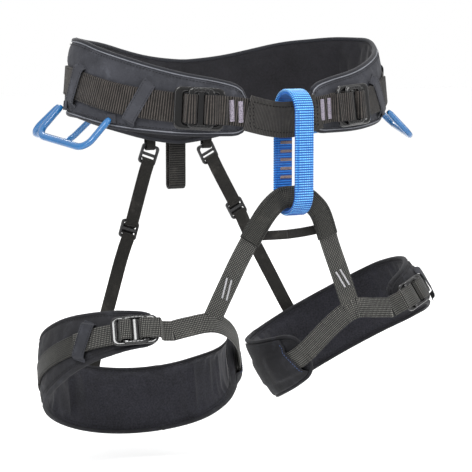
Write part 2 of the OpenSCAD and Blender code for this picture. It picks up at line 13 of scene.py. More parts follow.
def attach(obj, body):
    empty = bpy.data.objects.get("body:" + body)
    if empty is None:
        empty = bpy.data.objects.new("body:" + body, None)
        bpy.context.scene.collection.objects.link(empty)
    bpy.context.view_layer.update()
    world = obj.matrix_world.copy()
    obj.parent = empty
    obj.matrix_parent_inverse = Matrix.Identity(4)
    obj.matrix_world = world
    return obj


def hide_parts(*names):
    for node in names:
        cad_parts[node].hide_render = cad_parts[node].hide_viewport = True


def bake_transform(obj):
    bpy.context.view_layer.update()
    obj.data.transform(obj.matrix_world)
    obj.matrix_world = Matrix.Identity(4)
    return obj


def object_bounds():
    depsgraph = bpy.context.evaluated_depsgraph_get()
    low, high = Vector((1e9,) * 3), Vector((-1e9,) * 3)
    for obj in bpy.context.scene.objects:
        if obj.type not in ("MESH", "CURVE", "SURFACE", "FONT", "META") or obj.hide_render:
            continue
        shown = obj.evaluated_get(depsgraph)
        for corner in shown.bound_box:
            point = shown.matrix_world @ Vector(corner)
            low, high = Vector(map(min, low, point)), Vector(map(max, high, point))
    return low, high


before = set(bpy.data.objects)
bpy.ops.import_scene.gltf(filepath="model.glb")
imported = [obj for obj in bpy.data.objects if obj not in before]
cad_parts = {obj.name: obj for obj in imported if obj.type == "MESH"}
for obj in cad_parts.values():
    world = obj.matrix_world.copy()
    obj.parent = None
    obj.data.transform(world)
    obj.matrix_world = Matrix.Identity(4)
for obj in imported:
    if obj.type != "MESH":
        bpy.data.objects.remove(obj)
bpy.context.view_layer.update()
MM = 0.001

# ------------------------------------------------------------------ driving dimensions
BELT_HALF_W, BELT_HALF_D = 165.0, 104.0
BELT_LEAN = 0.09
BELT_WEB, TIE_WEB, LEG_WEB = 28.0, 34.0, 20.0
BELT_PAD_HALF, LEG_PAD_HALF = 4.25, 3.8   # foam's middle to the pad's face
PAD_START = 12.0
WEB_OFF, TAIL_OFF = 5.8, 7.9
LEG_WEB_OFF, LEG_TAIL_OFF = 5.25, 7.25
LEG_MID_H = -4.0
LEG_R = 92.0
LEG_FROM, LEG_TO = 16.0, 308.0
BUCKLE_AT, LEG_BUCKLE_AT = 28.5, 28.0
BELAY = dict(x=10.0, y=-114.0, r=20.0, top=9.2, low=-106.0, width=19.0)
BRIDGE_Z = -90.5
GEAR_ENDS = {"front": (62, 96), "rear": (106, 142)}
GEAR_DEPTH, GEAR_TILT = 38.0, 45.0
SIDES = {"right": -1, "left": 1}
LEG = {
    -1: dict(c=(-108, -15, -261.5), slope=(-0.20, -0.62), joint=(-73, -104, -205)),
    1: dict(c=(123, -15, -238), slope=(0.437, -0.371), joint=(82, -105, -203)),
}
# Heights against the angle from the front, in degrees
BELT_TOP = [(10, 10), (20, 19), (34, 25), (60, 42), (85, 56), (115, 57), (140, 52), (165, 37), (180, 33)]
BELT_LOW = [(10, -30), (34, -29.5), (58, -24), (82, -15), (100, -12), (125, -18), (150, -34), (168, -47),
            (180, -52)]
WEB_MID = [(0, -14.5), (8, -13), (16, -8), (28, -6), (38, -4.5), (58, 2.5), (80, 14), (95, 19), (120, 18),
           (150, 4), (180, -8)]
LEG_TOP = [(16, 15), (40, 20), (70, 27), (110, 33), (180, 34), (250, 32), (290, 24), (308, 18)]
LEG_LOW = [(16, -14), (34, -17), (52, -21), (66, -25), (84, -31), (110, -34), (180, -34), (250, -33),
           (290, -28), (308, -23)]
WAIST = 0


# ------------------------------------------------------------------ points on the belt and the legs
def unit(v):
    v = np.asarray(v, float)
    return v / np.linalg.norm(v)


def soft(x, table):
    keys, values = zip(*table)
    return float(np.mean([np.interp(x + d, keys, values) for d in (-6, -3, 0, 3, 6)]))


def front_angle(u):
    w = abs(u) % 360
    return 360 - w if w > 180 else w


def web_z(u):
    return soft(front_angle(u), WEB_MID)


def leg_axes(s):
    """(centre, front, outward, up) of a leg loop."""
    p, q = LEG[s]["slope"]
    n = unit((-p, -q, 1))
    f = unit(np.array((0, -1, 0)) - n * n[1] * -1)
    return np.array(LEG[s]["c"], float), f, s * np.cross(n, f), n


AXES = {s: leg_axes(s) for s in (-1, 1)}


def spot(k, u, off, h):
    """A point on the belt (k = 0) or a leg loop.

    u is the angle from the front, off the distance off the foam's middle and h the height.
    """
    a = math.radians(u)
    if k == WAIST:
        n = unit((math.sin(a) / BELT_HALF_W, -math.cos(a) / BELT_HALF_D))
        d = off - BELT_LEAN * h
        return np.array((BELT_HALF_W * math.sin(a) + d * n[0], -BELT_HALF_D * math.cos(a) + d * n[1], h))
    c, f, l, n = AXES[k]
    return c + (LEG_R + off) * (math.cos(a) * f + math.sin(a) * l) + h * n


def up_at(k, q):
    return unit(spot(k, q[0], q[1], q[2] + 1) - spot(k, q[0], q[1], q[2] - 1))


def along_at(k, q):
    return unit(spot(k, q[0] + 0.5, q[1], q[2]) - spot(k, q[0] - 0.5, q[1], q[2]))


def out_at(k, q):
    return unit(spot(k, q[0], q[1] + 1, q[2]) - spot(k, q[0], q[1] - 1, q[2]))


def web_run(u):
    """Direction of the belt webbing, unit length."""
    return unit(spot(WAIST, u + 4, 0, web_z(u + 4)) - spot(WAIST, u - 4, 0, web_z(u - 4)))


def tie_z(u):
    """Height of the tie-in layer's middle: it hangs a little below the webbing in front."""
    return web_z(u) - 3.2 * math.cos(math.radians(u * 7))


def web_up(u):
    v = up_at(WAIST, (u, 0, web_z(u)))
    r = web_run(u)
    return unit(v - r * (v @ r))


def smooth(keys, n):
    """Catmull-Rom curve through key points, n steps for each span."""
    K = np.asarray(keys, float)
    P = np.vstack([K[:1], K, K[-1:]])
    t = (np.arange(n) / n)[:, None]
    out = []
    for i in range(1, len(K)):
        a, b, c, d = P[i - 1], P[i], P[i + 1], P[i + 2]
        out.append(0.5 * (2 * b + (c - a) * t + (2 * a - 5 * b + 4 * c - d) * t ** 2
                          + (3 * b - a - 3 * c + d) * t ** 3))
    return np.vstack(out + [K[-1:]])


def resample(P, step, closed=False):
    """P at even steps along its length, with the lengths."""
    Q = np.vstack([P, P[:1]]) if closed else P
    s = np.concatenate([[0], np.cumsum(np.linalg.norm(np.diff(Q[:, :3], axis=0), axis=1))])
    n = max(2, int(round(s[-1] / step)))
    x = np.linspace(0, s[-1], n + 1)
    R = np.stack([np.interp(x, s, Q[:, i]) for i in range(Q.shape[1])], 1)
    return (R[:-1], x[:-1]) if closed else (R, x)


# ------------------------------------------------------------------ meshes
def mesh_object(name, verts, faces, uvs=None, mats=(), face_mat=None):
    me = bpy.data.meshes.new(name)
    me.from_pydata([tuple(v) for v in np.asarray(verts) * MM], [], faces)
    if uvs is not None:
        layer = me.uv_layers.new(name="UVMap")
        layer.data.foreach_set("uv", np.asarray(uvs, float).ravel())
    for m in mats:
        me.materials.append(m)
    me.polygons.foreach_set("use_smooth", [True] * len(me.polygons))
    if face_mat is not None:
        me.polygons.foreach_set("material_index", face_mat)
    me.update()
    ob = bpy.data.objects.new(name, me)
    bpy.context.scene.collection.objects.link(ob)
    return ob


def skin(name, rings, us, vs, mats, closed=False, ring_mat=None):
    """Surface through rings of points (n, m, 3); us and vs are texture coordinates in millimetres."""
    rings = np.asarray(rings, float)
    n, m, _ = rings.shape
    vs = np.asarray(vs, float)
    faces, uvs, fm = [], [], []
    seg = n if closed else n - 1
    du = us[1] - us[0]
    for i in range(seg):
        i2 = (i + 1) % n
        u1, u2 = us[i], us[i] + du if i + 1 == n else us[i + 1]
        for j in range(m):
            j2 = (j + 1) % m
            v1, v2 = vs[j], vs[j + 1]
            faces.append((i * m + j, i * m + j2, i2 * m + j2, i2 * m + j))
            uvs += [(u1 * MM, v1 * MM), (u1 * MM, v2 * MM), (u2 * MM, v2 * MM), (u2 * MM, v1 * MM)]
            fm.append(ring_mat[j] if ring_mat is not None else 0)
    if not closed:
        for ids, u in ((range(m - 1, -1, -1), us[0]), (range(m), us[-1])):
            base = 0 if u == us[0] else (n - 1) * m
            faces.append(tuple(base + j for j in ids))
            uvs += [(u * MM, vs[j] * MM) for j in ids]
            fm.append(0)
    return mesh_object(name, rings.reshape(-1, 3), faces, uvs, mats, fm)


def strap_section(width, thick, n=6):
    """Rounded flat section: list of (across, out) and running distance round it."""
    r = min(thick * 0.48, width * 0.3)
    flat = np.linspace(-width / 2 + r, width / 2 - r, n + 1)
    side = [(width / 2 - r + r * math.sin(a), thick / 2 * math.cos(a))
            for a in np.radians([30, 65, 90, 115, 150])]
    pts = [(x, thick / 2) for x in flat] + side
    pts = np.array(pts + [(x, -thick / 2) for x in flat[::-1]] + [(-x, -y) for x, y in side])
    d = np.linalg.norm(np.roll(pts, -1, axis=0) - pts, axis=1)
    v = np.concatenate([[0], np.cumsum(d)]) - width / 2 + r
    return pts, v


def run_of(P, closed):
    """Unit direction of a path at each of its points."""
    T = (np.roll(P, -1, axis=0) - np.roll(P, 1, axis=0)) if closed else np.gradient(P, axis=0)
    return T / np.linalg.norm(T, axis=1, keepdims=True)


def strap_frames(P, C, closed):
    """Outward and across directions of a strap, square to its run."""
    T = run_of(P, closed)
    O = np.cross(T, C)
    O /= np.linalg.norm(O, axis=1, keepdims=True)
    return O, np.cross(O, T)


def strap(name, path, across, width, thick, mat, closed=False, step=1.4, rib=None, twist_noise=0.0):
    """Woven strap: path and across are (n, 3). rib is (pitch, height) of cross ribs raised in the mesh."""
    both = np.hstack([np.asarray(path, float), np.asarray(across, float)])
    both, s = resample(both, min(step, rib[0] / 4) if rib else step, closed)
    P, C = both[:, :3], both[:, 3:]
    O, C = strap_frames(P, C, closed)
    sec, v = strap_section(width, thick)
    rings = []
    for i in range(len(P)):
        a, b = sec[:, 0], sec[:, 1]
        if rib:
            pitch = s[-1] / round(s[-1] / rib[0]) if closed else rib[0]
            b = b + np.sign(b) * rib[1] * (0.5 + 0.5 * math.cos(2 * math.pi * s[i] / pitch))
        if twist_noise:
            w = twist_noise * noise.noise(Vector((s[i] * 0.02, width, 3.7)))
            b = b + w * 2 * a / width
        rings.append(P[i] + np.outer(a, C[i]) + np.outer(b, O[i]))
    return skin(name, rings, s, v, [mat], closed=closed)


def laid(k, keys, n=4):
    """Path and across directions of a strap on the belt or a leg loop, keys are (angle, off, height)."""
    Q = smooth(keys, n)
    return np.array([spot(k, *q) for q in Q]), np.array([up_at(k, q) for q in Q])


def tube(name, path, radius, mat, closed=False, step=2.0, sides=12, flat=(1.0, 1.0), hint=(0, 0, 1),
         ends=None):
    """Round or oval tube along a path. hint is the direction that flat[0] scales."""
    P, s = resample(np.asarray(path, float), step, closed)
    T = run_of(P, closed)
    H = np.asarray(hint, float)
    H = np.tile(H, (len(P), 1)) if H.ndim < 2 else resample(H, step, closed)[0][:len(P)]
    if len(H) < len(P):
        H = np.vstack([H, np.tile(H[-1:], (len(P) - len(H), 1))])
    A = H - T * (H * T).sum(1, keepdims=True)
    A /= np.linalg.norm(A, axis=1, keepdims=True)
    B = np.cross(T, A)
    ang = np.linspace(0, 2 * math.pi, sides, endpoint=False)
    rings = []
    for i in range(len(P)):
        g = radius * (ends(s[i], s[-1]) if ends else 1)
        rings.append(P[i] + np.outer(np.cos(ang) * g * flat[0], A[i])
                     + np.outer(np.sin(ang) * g * flat[1], B[i]))
    v = np.linspace(0, 2 * math.pi * radius, sides + 1)
    return skin(name, rings, s, v, [mat], closed=closed)


def capsules(name, segments, radius, mat, sides=6):
    """Many short threads as one mesh: segments are (start, end)."""
    verts, faces = [], []
    for a, b in segments:
        a, b = np.asarray(a, float), np.asarray(b, float)
        t = unit(b - a)
        x = unit(np.cross(t, (0.31, 0.52, 0.79)))
        y = np.cross(t, x)
        base = len(verts)
        for w, g in ((0.0, 0.35), (0.14, 0.9), (0.5, 1.0), (0.86, 0.9), (1.0, 0.35)):
            for j in range(sides):
                c = 2 * math.pi * j / sides
                verts.append(a + (b - a) * w + radius * g * (math.cos(c) * x + math.sin(c) * y))
        for r in range(4):
            for j in range(sides):
                j2 = (j + 1) % sides
                faces.append((base + r * sides + j, base + r * sides + j2, base + (r + 1) * sides + j2,
                              base + (r + 1) * sides + j))
        faces.append(tuple(base + j for j in range(sides - 1, -1, -1)))
        faces.append(tuple(base + 4 * sides + j for j in range(sides)))
    return mesh_object(name, verts, faces, None, [mat])


def stitches(name, lines, mat, pitch=3.2, length=2.2, radius=0.3):
    """Rows of stitches along surface lines (n, 3), as one mesh."""
    segments = []
    for line in lines:
        P, s = resample(np.asarray(line, float), 0.4)
        count = int(s[-1] / pitch)
        for i in range(count):
            x0 = (i + 0.2) * pitch
            a, b = (np.array([np.interp(x, s, P[:, j]) for j in range(3)]) for x in (x0, x0 + length))
            segments.append((a, b))
    return capsules(name, segments, radius, mat)


def bar_tack(segments, centre, along, across, length, width, count):
    """Close zigzag of threads: adds to segments."""
    for i in range(count):
        t = (i + 0.5) / count - 0.5
        a = centre + along * length * t - across * width / 2
        b = centre + along * length * (t + 0.35 / count) + across * width / 2
        segments.append((a, b))


def loop_outline(length, height, r, n=14, shift=0.0):
    """Rounded rectangle, starting at the middle of its +X side, with matched point numbers for every size."""
    pts = []
    for cx, cy, a0 in ((1, 1, 0), (-1, 1, 90), (-1, -1, 180), (1, -1, 270)):
        for a in np.radians(np.linspace(a0, a0 + 90, n)):
            pts.append((cx * (length / 2 - r) + r * math.cos(a) + shift,
                        cy * (height / 2 - r) + r * math.sin(a)))
    return np.array(pts)


def ring_plate(name, frame3, outer, inner, thick, mat, bow=0.0, rise=0.0, power=0.55, m=14):
    """Moulded ring between two rounded outlines, with a rounded section. frame3 is (origin, x, y, z)."""
    o, x, y, z = frame3
    rings = []
    for a, b in zip(outer, inner):
        ring = []
        for j in range(m):
            c = 2 * math.pi * j / m
            w = 0.5 + 0.5 * math.copysign(abs(math.cos(c)) ** 0.75, math.cos(c))
            p = b + (a - b) * w
            h = thick / 2 * math.copysign(abs(math.sin(c)) ** power, math.sin(c))
            h += rise + bow * (p[0] / np.abs(outer[:, 0]).max()) ** 2
            ring.append(o + x * p[0] + y * p[1] + z * h)
        rings.append(ring)
    n = len(rings)
    return skin(name, rings, np.linspace(0, 150, n), np.linspace(0, 20, m + 1), [mat], closed=True)


def part_frame(origin, x, z):
    x = unit(x)
    z = unit(z - x * np.dot(z, x))
    return np.asarray(origin, float), x, np.cross(z, x), z


# ------------------------------------------------------------------ materials
def set_inputs(node, **numbers):
    """Numbers for a node's inputs, each named with _ for its spaces."""
    for key, value in numbers.items():
        node.inputs[key.replace("_", " ")].default_value = value
    return node


class Nodes:
    """Short ways to wire a node material."""

    def __init__(self, name, rough=0.75, sheen=0.0, spec=0.4, coat=0.0):
        self.mat = bpy.data.materials.new(name)
        self.mat.use_nodes = True
        self.tree = self.mat.node_tree
        self.bsdf = self.tree.nodes["Principled BSDF"]
        set_inputs(self.bsdf, Roughness=rough, Sheen_Weight=sheen, Sheen_Roughness=0.45,
                   Specular_IOR_Level=spec, Coat_Weight=coat, Coat_Roughness=0.12)

    def new(self, kind, **values):
        node = self.tree.nodes.new(kind)
        for key, value in values.items():
            setattr(node, key, value)
        return node

    def link(self, a, b):
        self.tree.links.new(a, b)

    def math(self, op, a, b=None):
        node = self.new("ShaderNodeMath", operation=op)
        for i, x in enumerate((a, b)):
            if x is None:
                continue
            if isinstance(x, (int, float)):
                node.inputs[i].default_value = x
            else:
                self.link(x, node.inputs[i])
        return node.outputs[0]

    def add(self, a, b):
        return self.math("ADD", a, b)

    def mul(self, a, b):
        return self.math("MULTIPLY", a, b)

    def wave(self, x, pitch):
        """0 to 1 ripple along x, in metres."""
        s = self.math("SINE", self.mul(x, 2 * math.pi / pitch))
        return self.add(self.mul(s, 0.5), 0.5)

    def band(self, x, low, high):
        """Smooth step from 0 at low to 1 at high."""
        node = set_inputs(self.new("ShaderNodeMapRange", interpolation_type="SMOOTHSTEP"),
                          From_Min=low, From_Max=high)
        self.link(x, node.inputs["Value"])
        return node.outputs["Result"]

    def uv(self):
        node = self.new("ShaderNodeUVMap", uv_map="UVMap")
        split = self.new("ShaderNodeSeparateXYZ")
        self.link(node.outputs[0], split.inputs[0])
        return split.outputs[0], split.outputs[1]

    def place(self):
        return self.new("ShaderNodeTexCoord").outputs["Object"]

    def noise(self, scale, detail=3.0, rough=0.55, at=None):
        node = set_inputs(self.new("ShaderNodeTexNoise"), Scale=scale, Detail=detail, Roughness=rough)
        self.link(at if at is not None else self.place(), node.inputs["Vector"])
        return node.outputs["Fac"]

    def ramp(self, x, stops):
        node = self.new("ShaderNodeValToRGB")
        ramp = node.color_ramp
        while len(ramp.elements) < len(stops):
            ramp.elements.new(0.5)
        for e, (pos, col) in zip(ramp.elements, stops):
            e.position = pos
            e.color = (*col, 1)
        self.link(x, node.inputs[0])
        return node.outputs["Color"]

    def mix(self, fac, a, b, kind="MIX"):
        node = self.new("ShaderNodeMix", data_type="RGBA", blend_type=kind)
        for i, x in ((0, fac), (6, a), (7, b)):
            if isinstance(x, (int, float)):
                node.inputs[i].default_value = x
            elif isinstance(x, tuple):
                node.inputs[i].default_value = (*x, 1)
            else:
                self.link(x, node.inputs[i])
        return node.outputs[2]

    def finish(self, color=None, bump=None, strength=0.4, distance=0.0005, rough=None):
        if color is not None:
            self.link(color, self.bsdf.inputs["Base Color"])
        if rough is not None:
            self.link(rough, self.bsdf.inputs["Roughness"])
        if bump is not None:
            node = set_inputs(self.new("ShaderNodeBump"), Strength=strength, Distance=distance)
            self.link(bump, node.inputs["Height"])
            self.link(node.outputs[0], self.bsdf.inputs["Normal"])
        return self.mat


def srgb(text):
    c = [int(text[i:i + 2], 16) / 255 for i in (1, 3, 5)]
    return tuple(x / 12.92 if x <= 0.04045 else ((x + 0.055) / 1.055) ** 2.4 for x in c)


def webbing(name, yarn, groove_shade, rib, cross=1.1, rough=0.72, sheen=0.06, light=None, bump=0.6, depth=0.0006,
            blotch=0.3):
    """Woven strap: cross ribs rib mm apart, warp yarns cross mm apart, painted shade in the grooves and
    optional painted highlights on the rib tops.
    """
    n = Nodes(name, rough=rough, sheen=sheen, spec=0.25)
    u, v = n.uv()
    jitter = n.noise(900, 2)
    u2 = n.add(u, n.mul(jitter, 0.00045))
    ribs = n.wave(u2, rib * MM)
    warp = n.wave(n.add(v, n.mul(n.noise(300, 2), 0.0003)), cross * MM)
    ridge = n.mul(ribs, n.add(n.mul(warp, 0.4), 0.6))
    # painted shade: the colour goes near black in the grooves between the ribs and between the warp yarns,
    # where the bump is low
    tone = n.add(n.mul(ridge, 0.85),
                  n.mul(n.math("SUBTRACT", n.noise(120, 5, 0.65), 0.5), blotch * 1.6))
    color = n.ramp(tone, [(0.22, srgb(groove_shade)), (0.8, srgb(yarn))])
    if light:
        # painted highlight: light colour on the rib crests where they cross the warp crests
        rib_highlight = n.mul(ribs, n.wave(v, cross * 1.6 * MM))
        color = n.mix(n.mul(n.band(rib_highlight, 0.45, 0.85), 0.7), color, srgb(light))
    wear = n.band(n.noise(38, 5, 0.7), 0.5, 0.8)
    color = n.mix(n.mul(wear, 0.12), color, srgb("#8a857d"))
    return n.finish(color, n.add(ridge, n.mul(n.noise(2500, 2), 0.3)), bump, depth)


def cloth(name, base, dark, weave=0.0009, fuzz=0.0, rough=0.85, sheen=0.3, mottle=0.5, bump=0.25, light=None):
    """Shell or brushed lining cloth, from object coordinates: fine weave or fuzz, mottling and wear."""
    n = Nodes(name, rough=rough, sheen=sheen, spec=0.3)
    at = n.place()
    split = n.new("ShaderNodeSeparateXYZ")
    n.link(at, split.inputs[0])
    fine = n.noise(1 / weave, 2, 0.6, at)
    big = n.noise(26, 5, 0.6, at)
    tone = n.add(n.mul(fine, 0.45), n.mul(big, mottle))
    color = n.ramp(tone, [(0.25, srgb(dark)), (0.75, srgb(base))])
    if light:
        rub = n.band(n.noise(60, 6, 0.75, at), 0.48, 0.8)
        color = n.mix(n.mul(rub, 0.3), color, srgb(light))
    height = n.add(n.mul(fine, 1.0 + fuzz), n.mul(n.noise(320, 3, 0.6, at), 0.6))
    return n.finish(color, height, bump, 0.0005)


def plastic(name, base, dark, rough=0.3, coat=0.3, scratch=0.15, spec=0.5):
    """Moulded plastic or lacquered metal with faint flow marks, scuffs and uneven gloss."""
    n = Nodes(name, rough=rough, spec=spec, coat=coat)
    flow = n.noise(40, 4, 0.6)
    color = n.mix(n.mul(flow, 0.6), srgb(base), srgb(dark))
    scuff = n.noise(240, 6, 0.8)
    shine = n.add(n.mul(scuff, scratch * 1.6), rough - scratch * 0.6)
    return n.finish(color, scuff, 0.03, 0.0002, shine)


def thread(name, base, dark):
    n = Nodes(name, rough=0.75, sheen=0.03, spec=0.15)
    tone = n.noise(1400, 3)
    return n.finish(n.ramp(tone, [(0.3, srgb(dark)), (0.7, srgb(base))]), n.noise(4200, 2), 0.5, 0.0003)


M = {
    "shell": cloth("shell_cloth", "#35363c", "#18191d", weave=0.0008, sheen=0.03, mottle=0.7,
                   light="#666870"),
    "liner": cloth("liner_brushed", "#232227", "#09090b", weave=0.0016, fuzz=0.5, rough=0.95, sheen=0.1),
    "edge": cloth("edge_tape", "#26272e", "#141519", weave=0.0007, sheen=0.08, mottle=0.4),
    "piping": cloth("piping", "#8b8d94", "#3f4147", weave=0.0006, sheen=0.1, mottle=0.5),
    "keeper": cloth("keeper_cloth", "#3d3e44", "#222328", weave=0.0007, sheen=0.04, mottle=0.5,
                    light="#5c5e66"),
    "leg_keeper": cloth("leg_keeper_cloth", "#2c2d33", "#16171b", weave=0.0007, sheen=0.03, mottle=0.6,
                        bump=0.4, light="#4d4f57"),
    "leg_shell": cloth("leg_shell_cloth", "#1e1e22", "#0c0c0f", weave=0.0008, sheen=0.02, mottle=0.6,
                       bump=0.4, light="#4a4c54"),
    "leg_liner": cloth("leg_liner_brushed", "#3a3a43", "#0b0b0f", weave=0.0016, fuzz=0.6, rough=0.95,
                       sheen=0.1, mottle=0.3),
    "belt_web": webbing("belt_webbing", "#4f4945", "#020202", 2.3, 1.2, bump=0.9, depth=0.0009),
    "front_web": webbing("front_webbing", "#413e3c", "#151413", 1.5, 1.1, blotch=0.3),
    "leg_web": webbing("leg_webbing", "#2e2e2b", "#080807", 1.45, 1.15, light="#5a5953"),
    "bridge_web": webbing("bridge_webbing", "#383836", "#080808", 1.5, 1.2, light="#92918b"),
    "elastic": webbing("elastic", "#2c2a26", "#0c0b0a", 1.1, 0.9, rough=0.8),
    "haul_web": webbing("haul_webbing", "#34322f", "#060505", 2.4, 1.3, bump=0.8),
    "belay": webbing("belay_webbing", "#4dacf0", "#083f88", 2.3, 1.25, rough=0.5, sheen=0.05,
                     light="#a8dcfb"),
    "belay_edge": webbing("belay_inner", "#2383d8", "#083c86", 2.3, 1.25, rough=0.5, sheen=0.05),
    "tack": thread("tack_thread", "#c4bccb", "#3f3a45"),
    "belay_tack": thread("belay_tack_thread", "#9a8a8a", "#4f4343"),
    "white": thread("white_thread", "#d8d7da", "#7f7e83"),
    "dark": thread("dark_thread", "#0a0909", "#020202"),
    "blue_thread": thread("slate_thread", "#4c5f8a", "#2a3550"),
    "buckle": plastic("buckle_lacquer", "#09090a", "#020202", rough=0.1, coat=0.3, scratch=0.05, spec=0.35),
    "bar": plastic("buckle_bar", "#0d0d0e", "#030303", rough=0.12, coat=0.3, scratch=0.05, spec=0.35),
    "clip": plastic("clip_plastic", "#141416", "#08080a", rough=0.4, coat=0.1),
    "gear": plastic("gear_loop_plastic", "#1c669f", "#082b52", rough=0.22, coat=0.4),
}


# ------------------------------------------------------------------ padded bands
def swell(t):
    return math.sqrt(max(0.0, 1 - 0.88 * t ** 4))


def end_round(d, r):
    return 1.0 if d >= r else 0.45 + 0.55 * math.sqrt(max(0.0, 1 - (1 - max(d, 0) / r) ** 2))


def band_limits(k, u, u0, u1, trim):
    w = front_angle(u) if k == WAIST else u
    hi = soft(w, BELT_TOP if k == WAIST else LEG_TOP)
    lo = soft(w, BELT_LOW if k == WAIST else LEG_LOW)
    e = end_round(min(u - u0, u1 - u), 5 if k == WAIST else 9)
    m = (hi + lo) / 2
    return m + (lo - m) * e + trim, m + (hi - m) * e - trim


def pucker(p, edge, seed, amount):
    """Small gathers that fade away from a sewn edge, and broad soft waves everywhere."""
    q = Vector((p[0] * 0.075, p[1] * 0.075, p[2] * 0.02 + seed))
    r = Vector((p[0] * 0.016, p[1] * 0.016, p[2] * 0.03 + seed * 2))
    return amount * (edge * 1.3 * noise.noise(q) + 0.55 * noise.noise(r))


def pleat(p, h):
    """Upright folds in the lining of a leg loop."""
    return 0.9 * abs(noise.noise(Vector((p[0] * 0.13, p[1] * 0.13, h * 0.012))))


def settle(ob, pins, caps, pressure, grow, frames=16):
    """Short cloth run: the cover grows a little and the filling presses it out between its seams."""
    scene = bpy.context.scene
    group = ob.vertex_groups.new(name="seams")
    for i, w in enumerate(pins):
        group.add([i], w, "REPLACE")
    rest = np.array([v.co[:] for v in ob.data.vertices])
    mod = ob.modifiers.new("Cloth", "CLOTH")
    s = mod.settings
    s.vertex_group_mass = "seams"
    s.mass = 0.1
    s.quality = 6
    s.tension_stiffness = s.compression_stiffness = 12
    s.bending_stiffness = 0.6
    s.shrink_min = -grow
    s.use_pressure = True
    s.uniform_pressure_force = pressure
    s.effector_weights.gravity = 0
    mod.collision_settings.use_collision = False
    mod.point_cache.frame_start = 1
    mod.point_cache.frame_end = frames
    for frame_no in range(1, frames + 1):
        scene.frame_set(frame_no)
    done = ob.evaluated_get(bpy.context.evaluated_depsgraph_get()).to_mesh()
    got = np.array([v.co[:] for v in done.vertices])
    ob.evaluated_get(bpy.context.evaluated_depsgraph_get()).to_mesh_clear()
    ob.modifiers.remove(mod)
    ob.vertex_groups.clear()
    scene.frame_set(1)
    move = got - rest
    size = np.linalg.norm(move, axis=1, keepdims=True) + 1e-12
    cap = np.array(caps)[:, None] * MM
    move *= np.tanh(size / cap) * cap / size
    for v, co in zip(ob.data.vertices, rest + move):
        v.co = co


def padded_band(name, k, u0, u1, step, mats, trim, half, waves, seed, web, pressure=3.0, grow=0.035):
    """Pad with an outer and an inner face, held at its edges and under the webbing (middle, half width)."""
    n = int((u1 - u0) / step)
    rows = 22
    rings, us, pins, caps = [], [], [], []
    run = 0.0
    for i in range(n + 1):
        t = i / n
        u = u0 + (u1 - u0) * (t - 0.035 * math.sin(2 * math.pi * t))
        lo, hi = band_limits(k, u, u0, u1, trim)
        ring, pin, cap = [], [], []
        for side in (1, -1):
            for j in range(rows + 1):
                w = j / rows if side == 1 else 1 - j / rows
                w = 0.5 - 0.5 * math.cos(math.pi * w) * (1 - 0.25 * math.sin(math.pi * w) ** 2)
                edge = abs(2 * w - 1) ** 3
                h = lo + (hi - lo) * w
                off = side * half * swell(2 * w - 1)
                under = side == 1 and abs(h - web[0](u)) < web[1]
                amount = 0 if under else waves
                wave = pucker(spot(k, u, off, h), edge, seed + side, amount)
                off += side * wave * (1 - 0.35 * (edge > 0.97))
                if side == -1 and k != WAIST:
                    off -= pleat(spot(k, u, 0, 0), h) * (1 - (2 * w - 1) ** 4)
                ring.append(spot(k, u, off, h))
                held = under or abs(2 * w - 1) > 0.93 or i < 2 or i > n - 2
                pin.append(1.0 if held else 0.0)
                cap.append(1.3 if side == 1 else 2.2)
        rings.append(ring)
        pins.append(pin)
        caps.append(cap)
        if i:
            run += np.linalg.norm(np.array(rings[-1][0]) - np.array(rings[-2][0]))
        us.append(run)
    m = 2 * (rows + 1)
    ring_mat = [0] * (rows + 1) + [1] * (rows + 1)
    if k != -1:
        rings, pins, caps = ([r[::-1] for r in x] for x in (rings, pins, caps))
        ring_mat = ring_mat[::-1]
    ob = skin(name, rings, us, np.linspace(0, 150, m + 1), mats, ring_mat=ring_mat)
    extra = len(ob.data.vertices) - m * (n + 1)
    settle(ob, sum(pins, []) + [1.0] * extra, sum(caps, []) + [1.0] * extra, pressure, grow)
    return ob


def edge_path(k, u0, u1, off=0.0, grow=0.2, n=150):
    """Closed path round the edge of a pad and the outward direction at each point."""
    us = [u0 + (u1 - u0) * (t - 0.035 * math.sin(2 * math.pi * t)) for t in np.linspace(0, 1, n)]
    e = 1.1 if k == WAIST else 1.9
    keys = [(u, off, band_limits(k, u, u0, u1, -grow)[1]) for u in us]
    mid = sum(band_limits(k, u1, u0, u1, 0)) / 2
    keys += [(u1 + e, off, mid)]
    keys += [(u, off, band_limits(k, u, u0, u1, -grow)[0]) for u in us[::-1]]
    mid = sum(band_limits(k, u0, u0, u1, 0)) / 2
    keys += [(u0 - e, off, mid)]
    return np.array([spot(k, *q) for q in keys]), np.array([out_at(k, q) for q in keys])


def edge_line(k, u0, u1, off, grow):
    P, _ = edge_path(k, u0, u1, off, grow)
    return np.vstack([P, P[:1]])


def edging(name, k, u0, u1, radius, mat, off=0.0, grow=0.2, flat=(1.25, 1.0)):
    P, O = edge_path(k, u0, u1, off, grow)
    return tube(name, P, radius, mat, closed=True, step=2.2, sides=10, flat=flat, hint=O)


# ------------------------------------------------------------------ waist belt
U0, U1 = PAD_START, 360 - PAD_START


